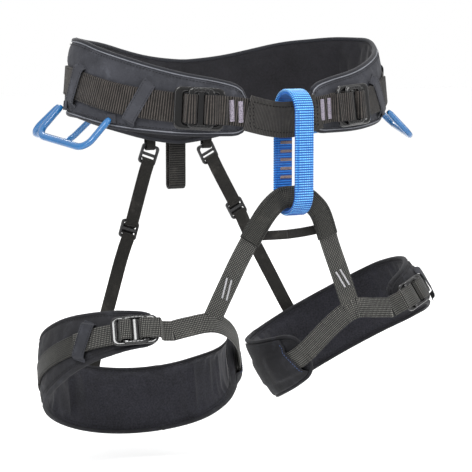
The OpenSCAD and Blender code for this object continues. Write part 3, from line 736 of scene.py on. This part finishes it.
def build_belt():
    pad = padded_band("belt_pad", WAIST, U0, U1, 1.4, [M["shell"], M["liner"]], 1.4, BELT_PAD_HALF, 0.55,
                      1.3, (web_z, BELT_WEB / 2 + 1))
    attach(pad, "waist_belt")
    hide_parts("waist_foam_core", "waist_outer_shell", "waist_liner")
    tape = edging("belt_edge_tape", WAIST, U0, U1, 2.1, M["edge"])
    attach(tape, "waist_belt")
    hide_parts("waist_edge_binding")
    pipe = edging("belt_piping", WAIST, U0, U1, 0.65, M["piping"], off=2.3, grow=-0.9, flat=(1, 1))
    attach(pipe, "waist_belt")

    P, C = laid(WAIST, [(20 + 320 * i / 58, WEB_OFF, web_z(20 + 320 * i / 58)) for i in range(59)])
    web = strap("belt_webbing", P, C, BELT_WEB, 2.0, M["belt_web"], step=1.6, twist_noise=0.4)
    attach(web, "waist_belt")
    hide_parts("waist_webbing")

    half = [(u, TAIL_OFF, web_z(u)) for u in range(0, 16, 3)]
    half += [(q[0], q[1], web_z(q[0])) for q in through(WAIST, BUCKLE_AT, TAIL_OFF, 0)]
    half += [(u, TAIL_OFF, web_z(u)) for u in np.arange(42, 67.1, 2.5)]
    keys = [(-a, b, c) for a, b, c in half[:0:-1]] + half
    Q = smooth(keys, 3)
    P, C = np.array([spot(WAIST, *q) for q in Q]), np.array([web_up(q[0]) for q in Q])
    strap_ob = strap("front_belt_strap", P, C, BELT_WEB - 1, 1.6, M["belt_web"], rib=(2.3, 0.3))
    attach(strap_ob, "waist_belt")
    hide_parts("front_belt_strap")

    keys = [(u, TAIL_OFF + 2.1, tie_z(u)) for u in range(-13, 14, 2)]
    P, C = laid(WAIST, keys)
    tie = strap("tie_in_webbing", P, C, TIE_WEB, 2.0, M["front_web"], rib=(1.5, 0.12), twist_noise=0.5)
    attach(tie, "waist_belt")
    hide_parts("front_tie_in_webbing")


FRONT_WAY = [(28, 0), (26.4, 0), (25.2, 0.6), (24.6, 1.8), (24.2, 3.4), (23.8, 5), (22.6, 6.2), (19, 6.4),
             (15.5, 7.4), (13.2, 8.6), (11.6, 9.2), (9.3, 9.4), (7, 9.3), (5.4, 8.4), (4.8, 7.2), (4.5, 5.4),
             (3.6, 3.6), (2.2, 2.7), (0, 2.4)]
# Pitch, length and radius of the stitches along pads and webbing
PAD_STITCH = (3.2, 2.1, 0.25)
REAR_WAY = [(26, 0), (19, 0), (17, 0.1), (15.8, 0.6), (14.9, 2), (14.4, 4), (14, 6.2), (13.4, 8.2),
            (12, 9.2)] + FRONT_WAY[11:-1]


def through(k, at, off, z):
    """Over the buckle's front bar and slider, and under its rear bar: (angle, off, height) keys."""
    radius, speed, gain = (218, 2.776, 0.0127) if k == WAIST else (99, 1.732, 0.01745)
    keys = []
    for way, f in ((FRONT_WAY, -1), (REAR_WAY[::-1], 1)):
        for a, r in way:
            rise = r + a * a / 2 / radius * min(1, r / 4)
            keys.append((at + f * a / (speed + gain * rise), off + rise, z))
    return keys


def keeper_keys(u0, u1, mid, half, low, high):
    way = [(0, low, half + 5), (0.06, low + 0.6, half + 3.4), (0.12, high, half + 0.6), (0.5, high + 0.3, 0),
           (0.88, high, -half - 0.6), (0.94, low + 0.6, -half - 3.4), (1, low, -half - 5)]
    return [(u0 + (u1 - u0) * t, o, mid + h) for t, o, h in way]


def keeper(name, k, u0, u1, mid, half, low, high, width, mat):
    Q = smooth(keeper_keys(u0, u1, mid, half, low, high), 6)
    P = np.array([spot(k, *q) for q in Q])
    C = np.array([unit(np.cross(out_at(k, q), P[0] - P[-1])) for q in Q])
    ob = strap(name, P, C, width, 0.8, mat, step=1.0)
    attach(ob, body_of_band(k))
    lines = [P + C * e * (width / 2 - 1.6) + np.array([out_at(k, q) for q in Q]) * 0.45 for e in (-1, 1)]
    st = stitches(name + "_stitches", lines, M["dark"], 2.6, 1.7, 0.22)
    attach(st, body_of_band(k))
    return ob


def body_of_band(k):
    return {0: "waist_belt", -1: "leg_loop_right", 1: "leg_loop_left"}[k]


def build_belt_trim():
    for s, side in ((-1, "right"), (1, "left")):
        for u0, u1, tag in ((46, 55, "front"), (80, 87, "rear")):
            keeper(f"belt_keeper_{tag}_{side}", WAIST, s * u0, s * u1, web_z((u0 + u1) / 2),
                               BELT_WEB / 2, 5.3, TAIL_OFF + 1.7, 13, M["keeper"])
    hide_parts("waist_keepers")
    segments = []
    for u in (-18, -15, 15, 18):
        q = (u, TAIL_OFF + 1.2, web_z(u))
        bar_tack(segments, spot(WAIST, *q), up_at(WAIST, q), along_at(WAIST, q), 20, 5.0, 21)
    tacks = capsules("belt_bar_tacks", segments, 0.42, M["tack"])
    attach(tacks, "waist_belt")
    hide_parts("waist_bar_tacks")

    def tie(u, h):
        return spot(WAIST, u, TAIL_OFF + 3.25, tie_z(u) + h)
    box = [[tie(u, h) for u in np.linspace(-11, 11, 30)] for h in (12, -12)]
    for u, reach in ((-11, 12), (11, 12), (-12.2, 13.4), (12.2, 13.4)):
        box.append([tie(u, h) for h in np.linspace(-reach, reach, 12)])
    st = stitches("tie_in_stitch_box", box, M["dark"], 3.3, 1.6, 0.55)
    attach(st, "waist_belt")

    st = stitches("belt_edge_stitches", [edge_line(WAIST, U0, U1, 3.9, -3.6)], M["dark"], *PAD_STITCH)
    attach(st, "waist_belt")
    lines = [[spot(WAIST, u, WEB_OFF + 1.05, web_z(u) + edge * (BELT_WEB / 2 - 2.2))
              for u in np.linspace(68, 292, 240)] for edge in (-1, 1)]
    st = stitches("belt_webbing_stitches", lines, M["dark"], *PAD_STITCH)
    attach(st, "waist_belt")


# ------------------------------------------------------------------ buckles
def buckle(name, k, at, off, mid, length, web, frame_node, slider_node, rises, rails):
    """Frame with a broad rear bar, and a slider over it, flat against the belt's tangent.

    rises are the heights of the frame and the slider, and rails what they add to the webbing's width.
    """
    origin = spot(k, at, off, mid)
    s = -1 if k == WAIST and at < 0 else 1
    x = web_run(at) * s if k == WAIST else along_at(k, (at, 0, mid))
    z = np.cross(web_run(at), web_up(at)) if k == WAIST else out_at(k, (at, off, mid))
    fr = part_frame(origin, x, z)
    rear = 1.3 if k == WAIST else 0.6
    o = loop_outline(length, web + rails[0], 6.5, shift=rear)
    i = loop_outline(33, web + 1.6, 2.4)
    body = ring_plate(name + "_frame", fr, o, i, 3.2, M["buckle"], rise=rises[0], bow=0.5)
    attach(body, body_of_band(k))
    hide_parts(frame_node)
    o, i = loop_outline(25, web + rails[1], 4.2), loop_outline(12.2, web + 1.6, 2.2)
    top = ring_plate(name + "_slider", fr, o, i, 2.6, M["bar"], rise=rises[1], bow=-0.4)
    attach(top, body_of_band(k))
    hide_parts(slider_node)
    # painted shade in part: a glossy black bar across the slider's opening stands for the dark gap between
    # the webbing strips, where the strap dives into shadow; the bar itself is a guessed centre bar
    across = np.array([fr[0] + fr[2] * y + fr[3] * (rises[1] - 1.1)
                       for y in np.linspace(-web / 2 - 2, web / 2 + 2, 9)])
    bar = tube(name + "_middle_bar_and_shade", across, 1.0, M["bar"], sides=16, flat=(3.4, 0.85), hint=fr[1])
    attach(bar, body_of_band(k))
    grip = []
    for e in (-1, 1):
        y0 = e * (web / 2 + 2.2)
        for j in range(5):
            c = fr[0] + fr[1] * (j - 2) * 3.4 + fr[2] * y0 + fr[3] * (rises[1] + 1.1)
            grip.append((c - fr[2] * 1.1, c + fr[2] * 1.1))
    ribs = capsules(name + "_grip_ribs", grip, 0.5, M["bar"])
    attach(ribs, body_of_band(k))


def build_buckles():
    for s, side in ((-1, "right"), (1, "left")):
        buckle(f"belt_buckle_{side}", WAIST, s * BUCKLE_AT, TAIL_OFF, web_z(BUCKLE_AT), 48, BELT_WEB,
               f"waist_buckle_frame_{side}", f"waist_buckle_slider_{side}", (3.1, 6.4), (11.8, 9.2))
        buckle(f"leg_buckle_{side}", s, LEG_BUCKLE_AT, LEG_TAIL_OFF, LEG_MID_H, 44, LEG_WEB,
               f"leg_buckle_frame_{side}", f"leg_buckle_slider_{side}", (3.0, 6.0), (8.5, 7.4))


# ------------------------------------------------------------------ belay loop and bridge
def upright(y, r, top, low, n):
    a = np.linspace(0, math.pi, n + 1)
    up = [(y + r * math.cos(t), top - r + r * math.sin(t)) for t in a]
    down = [(y - r * math.cos(t), low + r - r * math.sin(t)) for t in a]
    return up + down


def closed_loop(name, x, y, r, top, low, width, thick, mat, n=20, **kw):
    P = np.array([(x, a, b) for a, b in upright(y, r, top, low, n)])
    P, _ = resample(P, 1.5, True)
    return strap(name, P, np.tile((1.0, 0, 0), (len(P), 1)), width, thick, mat, closed=True, **kw)


def build_belay():
    b = BELAY
    outer = closed_loop("belay_loop_outer", b["x"], b["y"], b["r"] + 1.15, b["top"] + 1.15, b["low"] - 1.15,
                        b["width"], 2.1, M["belay"], rib=(2.3, 0.28))
    inner = closed_loop("belay_loop_inner", b["x"], b["y"], b["r"] - 1.15, b["top"] - 1.15, b["low"] + 1.15,
                        b["width"] - 0.6, 2.1, M["belay_edge"], rib=(2.3, 0.22))
    for ob in (outer, inner):
        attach(ob, "belay_loop")
    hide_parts("belay_loop_webbing")
    y = b["y"] + b["r"] - 2.6
    segments = []
    for i in range(5):
        bar_tack(segments, np.array((b["x"] + 2, y, -40 - 8.3 * i)), np.array((1.0, 0, 0)),
                 np.array((0, 0, 1.0)), 12.5, 3.0, 18)
    tacks = capsules("belay_tacks", segments, 0.42, M["belay_tack"])
    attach(tacks, "belay_loop")
    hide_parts("belay_loop_bar_tacks")
    rows = [[(b["x"] + e, y + 0.15, z) for z in np.linspace(-32, -82, 30)] for e in (-6.6, 8.4)]
    rows += [[(b["x"] + e, b["y"] - b["r"] - 2.5, z) for z in np.linspace(-8, -86, 60)] for e in (-7.4, 7.4)]
    st = stitches("belay_edge_stitches", rows, M["belay_edge"], 2.3, 1.7, 0.26)
    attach(st, "belay_loop")


def joint_at(s):
    return np.array(LEG[s]["joint"], float)


def bridge_path(s):
    c = np.array((BELAY["x"], BELAY["y"], BRIDGE_Z))
    d = joint_at(s) - c
    keys = [c + (s * 0.3, 0, 0), c + (s * 5, 0, 0), c + (s * 12, 0.2, -1), c + (s * 21, 0.5, -6.8),
            c + (s * 32, 1.5, -19.5), c + d * (0.62, 0.45, 0.45), c + d * (0.82, 0.75, 0.74),
            c + d * (0.97, 1, 0.97)]
    P = smooth(keys, 10)
    T = np.gradient(P, axis=0)
    C = np.cross(T, (0, 1.0, 0))
    C /= np.linalg.norm(C, axis=1, keepdims=True)
    return P, C


SLEEVE_END = 48   # point along the bridge path where its doubled part ends


def build_bridge():
    for s, side in ((-1, "right"), (1, "left")):
        P, C = bridge_path(s)
        main = strap(f"bridge_strap_{side}", P, C, LEG_WEB, 2.0, M["bridge_web"], rib=(1.5, 0.1),
                     twist_noise=0.8)
        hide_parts(f"bridge_strap_{side}")
        pieces = [main]
        for e, tag in ((-1, "front"), (1, "rear")):
            Q = P[:SLEEVE_END] + np.array((0, e * 2.05, 0))
            pieces.append(strap(f"bridge_sleeve_{tag}_{side}", Q, C[:SLEEVE_END], LEG_WEB + 0.4, 1.5,
                                M["leg_web"], rib=(1.5, 0.1)))
        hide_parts(f"bridge_sleeve_{side}")
        edges = [P[:SLEEVE_END] + C[:SLEEVE_END] * e + np.array((0, -2.95, 0)) for e in (-7.8, 7.8)]
        pieces.append(stitches(f"bridge_stitches_{side}", edges, M["dark"], 2.8, 1.9, 0.25))
        i = int(len(P) * 0.85)
        T = unit(P[i + 1] - P[i - 1])
        segs = []
        for e in (-2.6, 2.6):
            m = P[i] + C[i] * e + np.array((0, -1.5, 0))
            bar_tack(segs, m, unit(T + C[i] * 0.22), C[i], 20, 1.9, 26)
        tack = capsules(f"joint_tacks_{side}", segs, 0.3, M["white"])
        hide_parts(f"leg_joint_tacks_{side}")
        pieces.append(tack)
        for ob in pieces:
            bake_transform(ob)
        x1, z1 = (-26, -127) if s == -1 else (43, -124)
        K = smooth([(8, -106.7, -127.3), (8 + (x1 - 8) * 0.5, -106.7, -127.3 + (z1 + 127) * 0.4),
                    (x1, -106.7, z1)], 8)
        k = strap(f"bridge_keeper_{side}", K, np.tile((0, 0.25, 1.0), (len(K), 1)), 9, 1.4, M["elastic"])
        if s == -1:
            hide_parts("bridge_keeper")
        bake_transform(k)


# ------------------------------------------------------------------ leg loops
def leg_h_at(s, p):
    c, f, l, n = AXES[s]
    d = np.asarray(p, float) - c
    return math.degrees(math.atan2(d @ l, d @ f)), math.hypot(d @ l, d @ f) - LEG_R, d @ n


def front_strap_keys(s):
    a, o, h = leg_h_at(s, joint_at(s))
    first = smooth([(-74, LEG_TAIL_OFF, LEG_MID_H), (-60, LEG_TAIL_OFF, LEG_MID_H),
                    (-48, LEG_TAIL_OFF + 3, -1), (-48 + (a + 48) * 0.6, o - 1, h * 0.62), (a, o + 2.5, h - 3),
                    (a + (8 - a) * 0.55, o + (LEG_TAIL_OFF - o) * 0.6, h + (LEG_MID_H - h) * 0.6),
                    (8, LEG_TAIL_OFF + 0.6, LEG_MID_H)], 6)
    tail = [(v, LEG_TAIL_OFF, LEG_MID_H) for v in range(44, 65, 4)]
    over = through(s, LEG_BUCKLE_AT, LEG_TAIL_OFF, LEG_MID_H)
    return np.vstack([first, smooth(over, 3), smooth(tail, 4)])


def build_leg(s, side):
    body = f"leg_loop_{side}"
    pad = padded_band(f"leg_pad_{side}", s, LEG_FROM, LEG_TO, 2.2, [M["leg_shell"], M["leg_liner"]], 1.4,
                      LEG_PAD_HALF, 0.5, 4.1 + s, (lambda v: LEG_MID_H, LEG_WEB / 2 + 1))
    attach(pad, body)
    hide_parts(f"leg_foam_{side}", f"leg_shell_{side}", f"leg_liner_{side}")
    tape = edging(f"leg_edge_tape_{side}", s, LEG_FROM, LEG_TO, 2.1, M["leg_shell"])
    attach(tape, body)
    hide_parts(f"leg_binding_{side}")
    P, C = laid(s, [(20 + 286 * i / 36, LEG_WEB_OFF, LEG_MID_H) for i in range(37)])
    web = strap(f"leg_webbing_{side}", P, C, LEG_WEB, 1.8, M["leg_web"], rib=(1.45, 0.12))
    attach(web, body)
    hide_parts(f"leg_webbing_{side}")
    Q = front_strap_keys(s)
    P, C = np.array([spot(s, *q) for q in Q]), np.array([up_at(s, q) for q in Q])
    front = strap(f"leg_front_strap_{side}", P, C, LEG_WEB, 1.6, M["bridge_web"], rib=(1.5, 0.12))
    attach(front, body)
    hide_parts(f"leg_front_strap_{side}")
    kp = keeper(f"leg_keeper_{side}", s, 53, 62, LEG_MID_H, LEG_WEB / 2 + 2.6, LEG_WEB_OFF + 0.2,
                LEG_TAIL_OFF + 2.4, 14, M["leg_keeper"])
    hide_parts(f"leg_keeper_{side}")
    lines = [[spot(s, v, LEG_WEB_OFF + 1.0, LEG_MID_H + e * 8.2) for v in np.linspace(24, 304, 200)]
             for e in (-1, 1)]
    lines += [edge_line(s, LEG_FROM, LEG_TO, off, -3.4) for off in (3.6, -3.6)]
    st = stitches(f"leg_stitches_{side}", lines, M["dark"], *PAD_STITCH)
    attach(st, body)


def smoothstep(x, a, b):
    t = min(1.0, max(0.0, (x - a) / (b - a)))
    return t * t * (3 - 2 * t)


def build_inner_cover(s, side):
    """Cloth cover that takes in the webbing towards the inner end of a leg pad, with a slanted sewn end."""
    rows, cols, start = 26, 24, 252
    rings, seam = [], []
    for i in range(cols + 1):
        outer, inner = [], []
        for j in range(rows + 1):
            w = j / rows
            v = start + (305 - 8 * w - start) * i / cols
            lo, hi = band_limits(s, v, LEG_FROM, LEG_TO, 1.0)
            h = lo + (hi - lo) * w
            pad = LEG_PAD_HALF * swell(2 * w - 1) + 1.7
            over = 7.3 + 2.2 * smoothstep(v, 274, 283)
            off = pad + (over - pad) * smoothstep(abs(h - LEG_MID_H), 16.5, 10.8)
            off += 0.35 * noise.noise(Vector((v * 0.22, h * 0.05, s * 4.0)))
            outer.append(spot(s, v, off + 0.45, h))
            inner.append(spot(s, v, off - 0.45, h))
            if i == cols:
                seam.append(spot(s, v - 1.6, off + 0.6, h))
        rings.append(outer + inner[::-1])
    if s == 1:
        rings = [r[::-1] for r in rings]
    us = np.linspace(0, 85, cols + 1)
    ob = skin(f"leg_inner_cover_{side}", rings, us, np.linspace(0, 130, 2 * rows + 3), [M["leg_shell"]])
    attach(ob, f"leg_loop_{side}")
    st = stitches(f"leg_cover_stitches_{side}", [seam[2:-2]], M["blue_thread"], 3.0, 2.0, 0.34)
    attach(st, f"leg_loop_{side}")


# ------------------------------------------------------------------ risers, haul loop, gear loops
REAR = np.array((0, 1.0, 0))
SLIDER_AT = 0.36   # place of the slider along a riser, from its hook


def riser_top(s):
    return np.array((s * 34.0, BELT_HALF_D + 10, -62.0))


def riser_line(s):
    top, foot = riser_top(s), spot(s, 180, LEG_TAIL_OFF + 0.9, 37)
    d = unit(foot - top)
    return top, foot, d, unit(np.cross(d, REAR))


def build_risers():
    for s, side in ((-1, "right"), (1, "left")):
        top, foot, d, x = riser_line(s)
        tape = closed_loop(f"riser_anchor_{side}", s * 33.2, top[1] - 0.3, 3.4, -33, -59, 10, 1.0,
                           M["elastic"], n=10)
        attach(tape, "waist_belt")
        if s == -1:
            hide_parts("riser_anchor_loops")
        h = top + d * 2
        fr = (h, x, np.cross(REAR, x), REAR)
        y = fr[2]
        hook = ring_plate(f"riser_hook_{side}", fr, loop_outline(20, 22, 4), loop_outline(14.5, 16, 2.5),
                          4.0, M["clip"])
        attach(hook, "waist_belt")
        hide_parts(f"riser_hook_{side}")
        bar = tube(f"riser_hook_bar_{side}", [h - x * 8.2, h, h + x * 8.2], 1.3, M["clip"], hint=y,
                   flat=(1.3, 1))
        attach(bar, "waist_belt")
        o = top + (foot - top) * SLIDER_AT
        n = np.linalg.norm(o - h)
        out = unit(REAR - d * d[1])
        K = [(4.4, 1.2), (5.0, -1.4), (6.6, -3.3), (12, -3.4), (24, -2.6), (n - 13, -2.8), (n - 9, -3.2),
             (n - 6.2, -3.2), (n - 5.3, -2.4), (n - 4.9, -1.2), (n - 4.3, 1.2), (n - 3.9, 2.4), (n - 3, 3.2),
             (n - 1.2, 3.2)]
        P = np.array([h + d * a + (out if a > 20 else REAR) * b for a, b in smooth(K, 5)])
        up = strap(f"riser_upper_{side}", P, np.tile(x, (len(P), 1)), 15, 1.6, M["elastic"])
        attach(up, "waist_belt")
        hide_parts(f"riser_upper_{side}")
        fr = (o, x, np.cross(out, x), out)
        sl = ring_plate(f"riser_slider_{side}", fr, loop_outline(20, 20, 3.5), loop_outline(16, 13.2, 2),
                        4.2, M["clip"])
        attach(sl, "waist_belt")
        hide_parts(f"riser_slider_{side}")
        bar = tube(f"riser_slider_bar_{side}", [o - x * 8.6, o, o + x * 8.6], 1.5, M["clip"], hint=y,
                   flat=(1.5, 1))
        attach(bar, "waist_belt")
        K = [o + d * a + out * b
             for a, b in ((1.2, 3.1), (3, 3.1), (3.9, 2.3), (4.3, 1.2), (4.9, -1.2), (5.3, -2.3),
                          (6.2, -3.1), (9, -3.1), (13, -2.6), (19, -1.4))]
        K += [top + (foot - top) * a for a in (0.52, 0.63, 0.74, 0.86, 0.96)]
        K += [spot(s, 180, LEG_TAIL_OFF + a, b) for a, b in ((0.2, 31), (-0.1, 20), (-0.1, 9))]
        P = smooth(K, 8)
        low = strap(f"riser_lower_{side}", P, np.tile(x, (len(P), 1)), 15, 1.3, M["elastic"], twist_noise=0.5)
        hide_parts(f"riser_lower_{side}")
        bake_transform(low)


def build_haul():
    ob = closed_loop("haul_loop_strap", 0, BELT_HALF_D + 16, 4.2, -40, -101, 19, 2.0, M["haul_web"], n=10,
                     rib=(2.4, 0.3))
    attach(ob, "haul_loop_body")
    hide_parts("haul_loop")
    P, C = laid(WAIST, [(180 + d, TAIL_OFF - 0.2, -22) for d in (-4, -2, 0, 2, 4)])
    tab = strap("haul_loop_patch", P, C, 18, 1.0, M["keeper"])
    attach(tab, "waist_belt")
    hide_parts("haul_loop_tack")


def build_gear():
    for fr, (u1, u2) in GEAR_ENDS.items():
        for side, s in SIDES.items():
            a, b = (spot(WAIST, s * u, 9.6, soft(u, BELT_LOW) + 7) for u in (u1, u2))
            w = np.linalg.norm(b - a)
            x = (b - a) / w
            outward = unit(np.cross(x, (0, 0, 1)) * s)
            t = math.radians(GEAR_TILT)
            y = outward * math.sin(t) - np.array((0, 0, 1)) * math.cos(t)
            y = unit(y - x * (y @ x))
            r, d = 12.0, GEAR_DEPTH
            pts = [(0, 0), (0, (d - r) * 0.5), (0, d - r)]
            pts += [(r - r * math.cos(q), d - r + r * math.sin(q)) for q in np.linspace(0.2, math.pi / 2, 7)]
            pts += [(w / 2, d)]
            pts += [(w - r + r * math.sin(q), d - r + r * math.cos(q))
                    for q in np.linspace(0, math.pi / 2 - 0.2, 7)]
            pts += [(w, d - r), (w, (d - r) * 0.5), (w, 0)]
            P = np.array([a + x * p + y * q for p, q in pts])
            name = f"gear_loop_{fr}_{side}"
            ob = tube(name + "_tube", P, 3.4, M["gear"], step=1.5, sides=16, flat=(0.9, 1.03),
                      hint=np.tile(np.cross(x, y), (len(P), 1)),
                      ends=lambda q, total: 1 - 0.25 * max(0, 1 - min(q, total - q) / 6) ** 2)
            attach(ob, name + "_body")
            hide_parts(name)
            for u in (u1, u2):
                P, C = laid(WAIST, [(s * u + d, 5.2, soft(u, BELT_LOW) + 7.5) for d in (-2, 0, 2)])
                tab = strap(f"gear_anchor_{fr}_{side}_{u}", P, C, 9, 1.0, M["keeper"])
                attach(tab, "waist_belt")
    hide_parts("gear_loop_anchors")


# ------------------------------------------------------------------ camera, lights, floor
VIEW_WIDTH = 0.472   # metres across the picture at the aim's distance


def build_stage():
    scene = bpy.context.scene
    az, el, dist = math.radians(-28), math.radians(7), 1.7
    right = Vector((math.cos(az), math.sin(az), 0))
    back = Vector((math.sin(az) * math.cos(el), -math.cos(az) * math.cos(el), math.sin(el)))
    up = back.cross(right)
    aim = right * 0.008 - up * 0.139
    cam = bpy.data.objects.new("camera", bpy.data.cameras.new("camera"))
    scene.collection.objects.link(cam)
    cam.data.sensor_width = 36
    cam.data.lens = 36 * dist / VIEW_WIDTH
    m = Matrix((right, up, back)).transposed().to_4x4()
    m.translation = aim + back * dist
    cam.matrix_world = m
    scene.camera = cam

    me = bpy.data.meshes.new("floor")
    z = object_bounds()[0][2] - 0.03
    me.from_pydata([(-9, -9, z), (9, -9, z), (9, 9, z), (-9, 9, z)], [], [(0, 1, 2, 3)])
    floor = bpy.data.objects.new("floor", me)
    scene.collection.objects.link(floor)
    n = Nodes("floor_pale", rough=0.9, spec=0.1)
    n.bsdf.inputs["Base Color"].default_value = (0.93, 0.93, 0.93, 1)
    me.materials.append(n.mat)

    world = bpy.data.worlds.new("studio")
    scene.world = world
    world.use_nodes = True
    tree = world.node_tree
    tree.nodes["Background"].inputs["Strength"].default_value = 1.0
    seen = tree.nodes.new("ShaderNodeLightPath").outputs["Is Camera Ray"]
    way = tree.nodes.new("ShaderNodeSeparateXYZ")
    tree.links.new(tree.nodes.new("ShaderNodeTexCoord").outputs["Generated"], way.inputs[0])
    height = set_inputs(tree.nodes.new("ShaderNodeMapRange"), From_Min=-0.35, From_Max=0.75, To_Min=0.28,
                        To_Max=1.2)
    tree.links.new(way.outputs["Z"], height.inputs["Value"])
    pick = tree.nodes.new("ShaderNodeMix")
    tree.links.new(seen, pick.inputs["Factor"])
    tree.links.new(height.outputs["Result"], pick.inputs["A"])
    pick.inputs["B"].default_value = 1.0
    tree.links.new(pick.outputs["Result"], tree.nodes["Background"].inputs["Color"])
    for name, at, size, power, low in (("key", (-1.0, -1.3, 1.5), (0.7, 0.7), 30, -0.15),
                                       ("fill", (1.5, -1.2, 0.6), (0.8, 0.8), 10, -0.15),
                                       ("rim", (0.5, 1.4, 1.3), (0.8, 0.8), 18, -0.15),
                                       ("streak_left", (-1.15, -0.9, 0.35), (0.1, 1.1), 4.5, -0.1),
                                       ("streak_right", (0.55, -1.5, 0.9), (0.1, 1.1), 3.5, -0.1)):
        lamp = bpy.data.lights.new(name, "AREA")
        lamp.shape = "RECTANGLE"
        lamp.size, lamp.size_y = size
        lamp.energy = power
        ob = bpy.data.objects.new(name, lamp)
        scene.collection.objects.link(ob)
        ob.location = at
        ob.rotation_euler = (Vector((0, 0, low)) - Vector(at)).to_track_quat("-Z", "Y").to_euler()
    scene.view_settings.view_transform = "Standard"


build_belt()
build_belt_trim()
build_buckles()
build_belay()
build_bridge()
for side_name, sign in SIDES.items():
    build_leg(sign, side_name)
    build_inner_cover(sign, side_name)
build_risers()
build_haul()
build_gear()
build_stage()
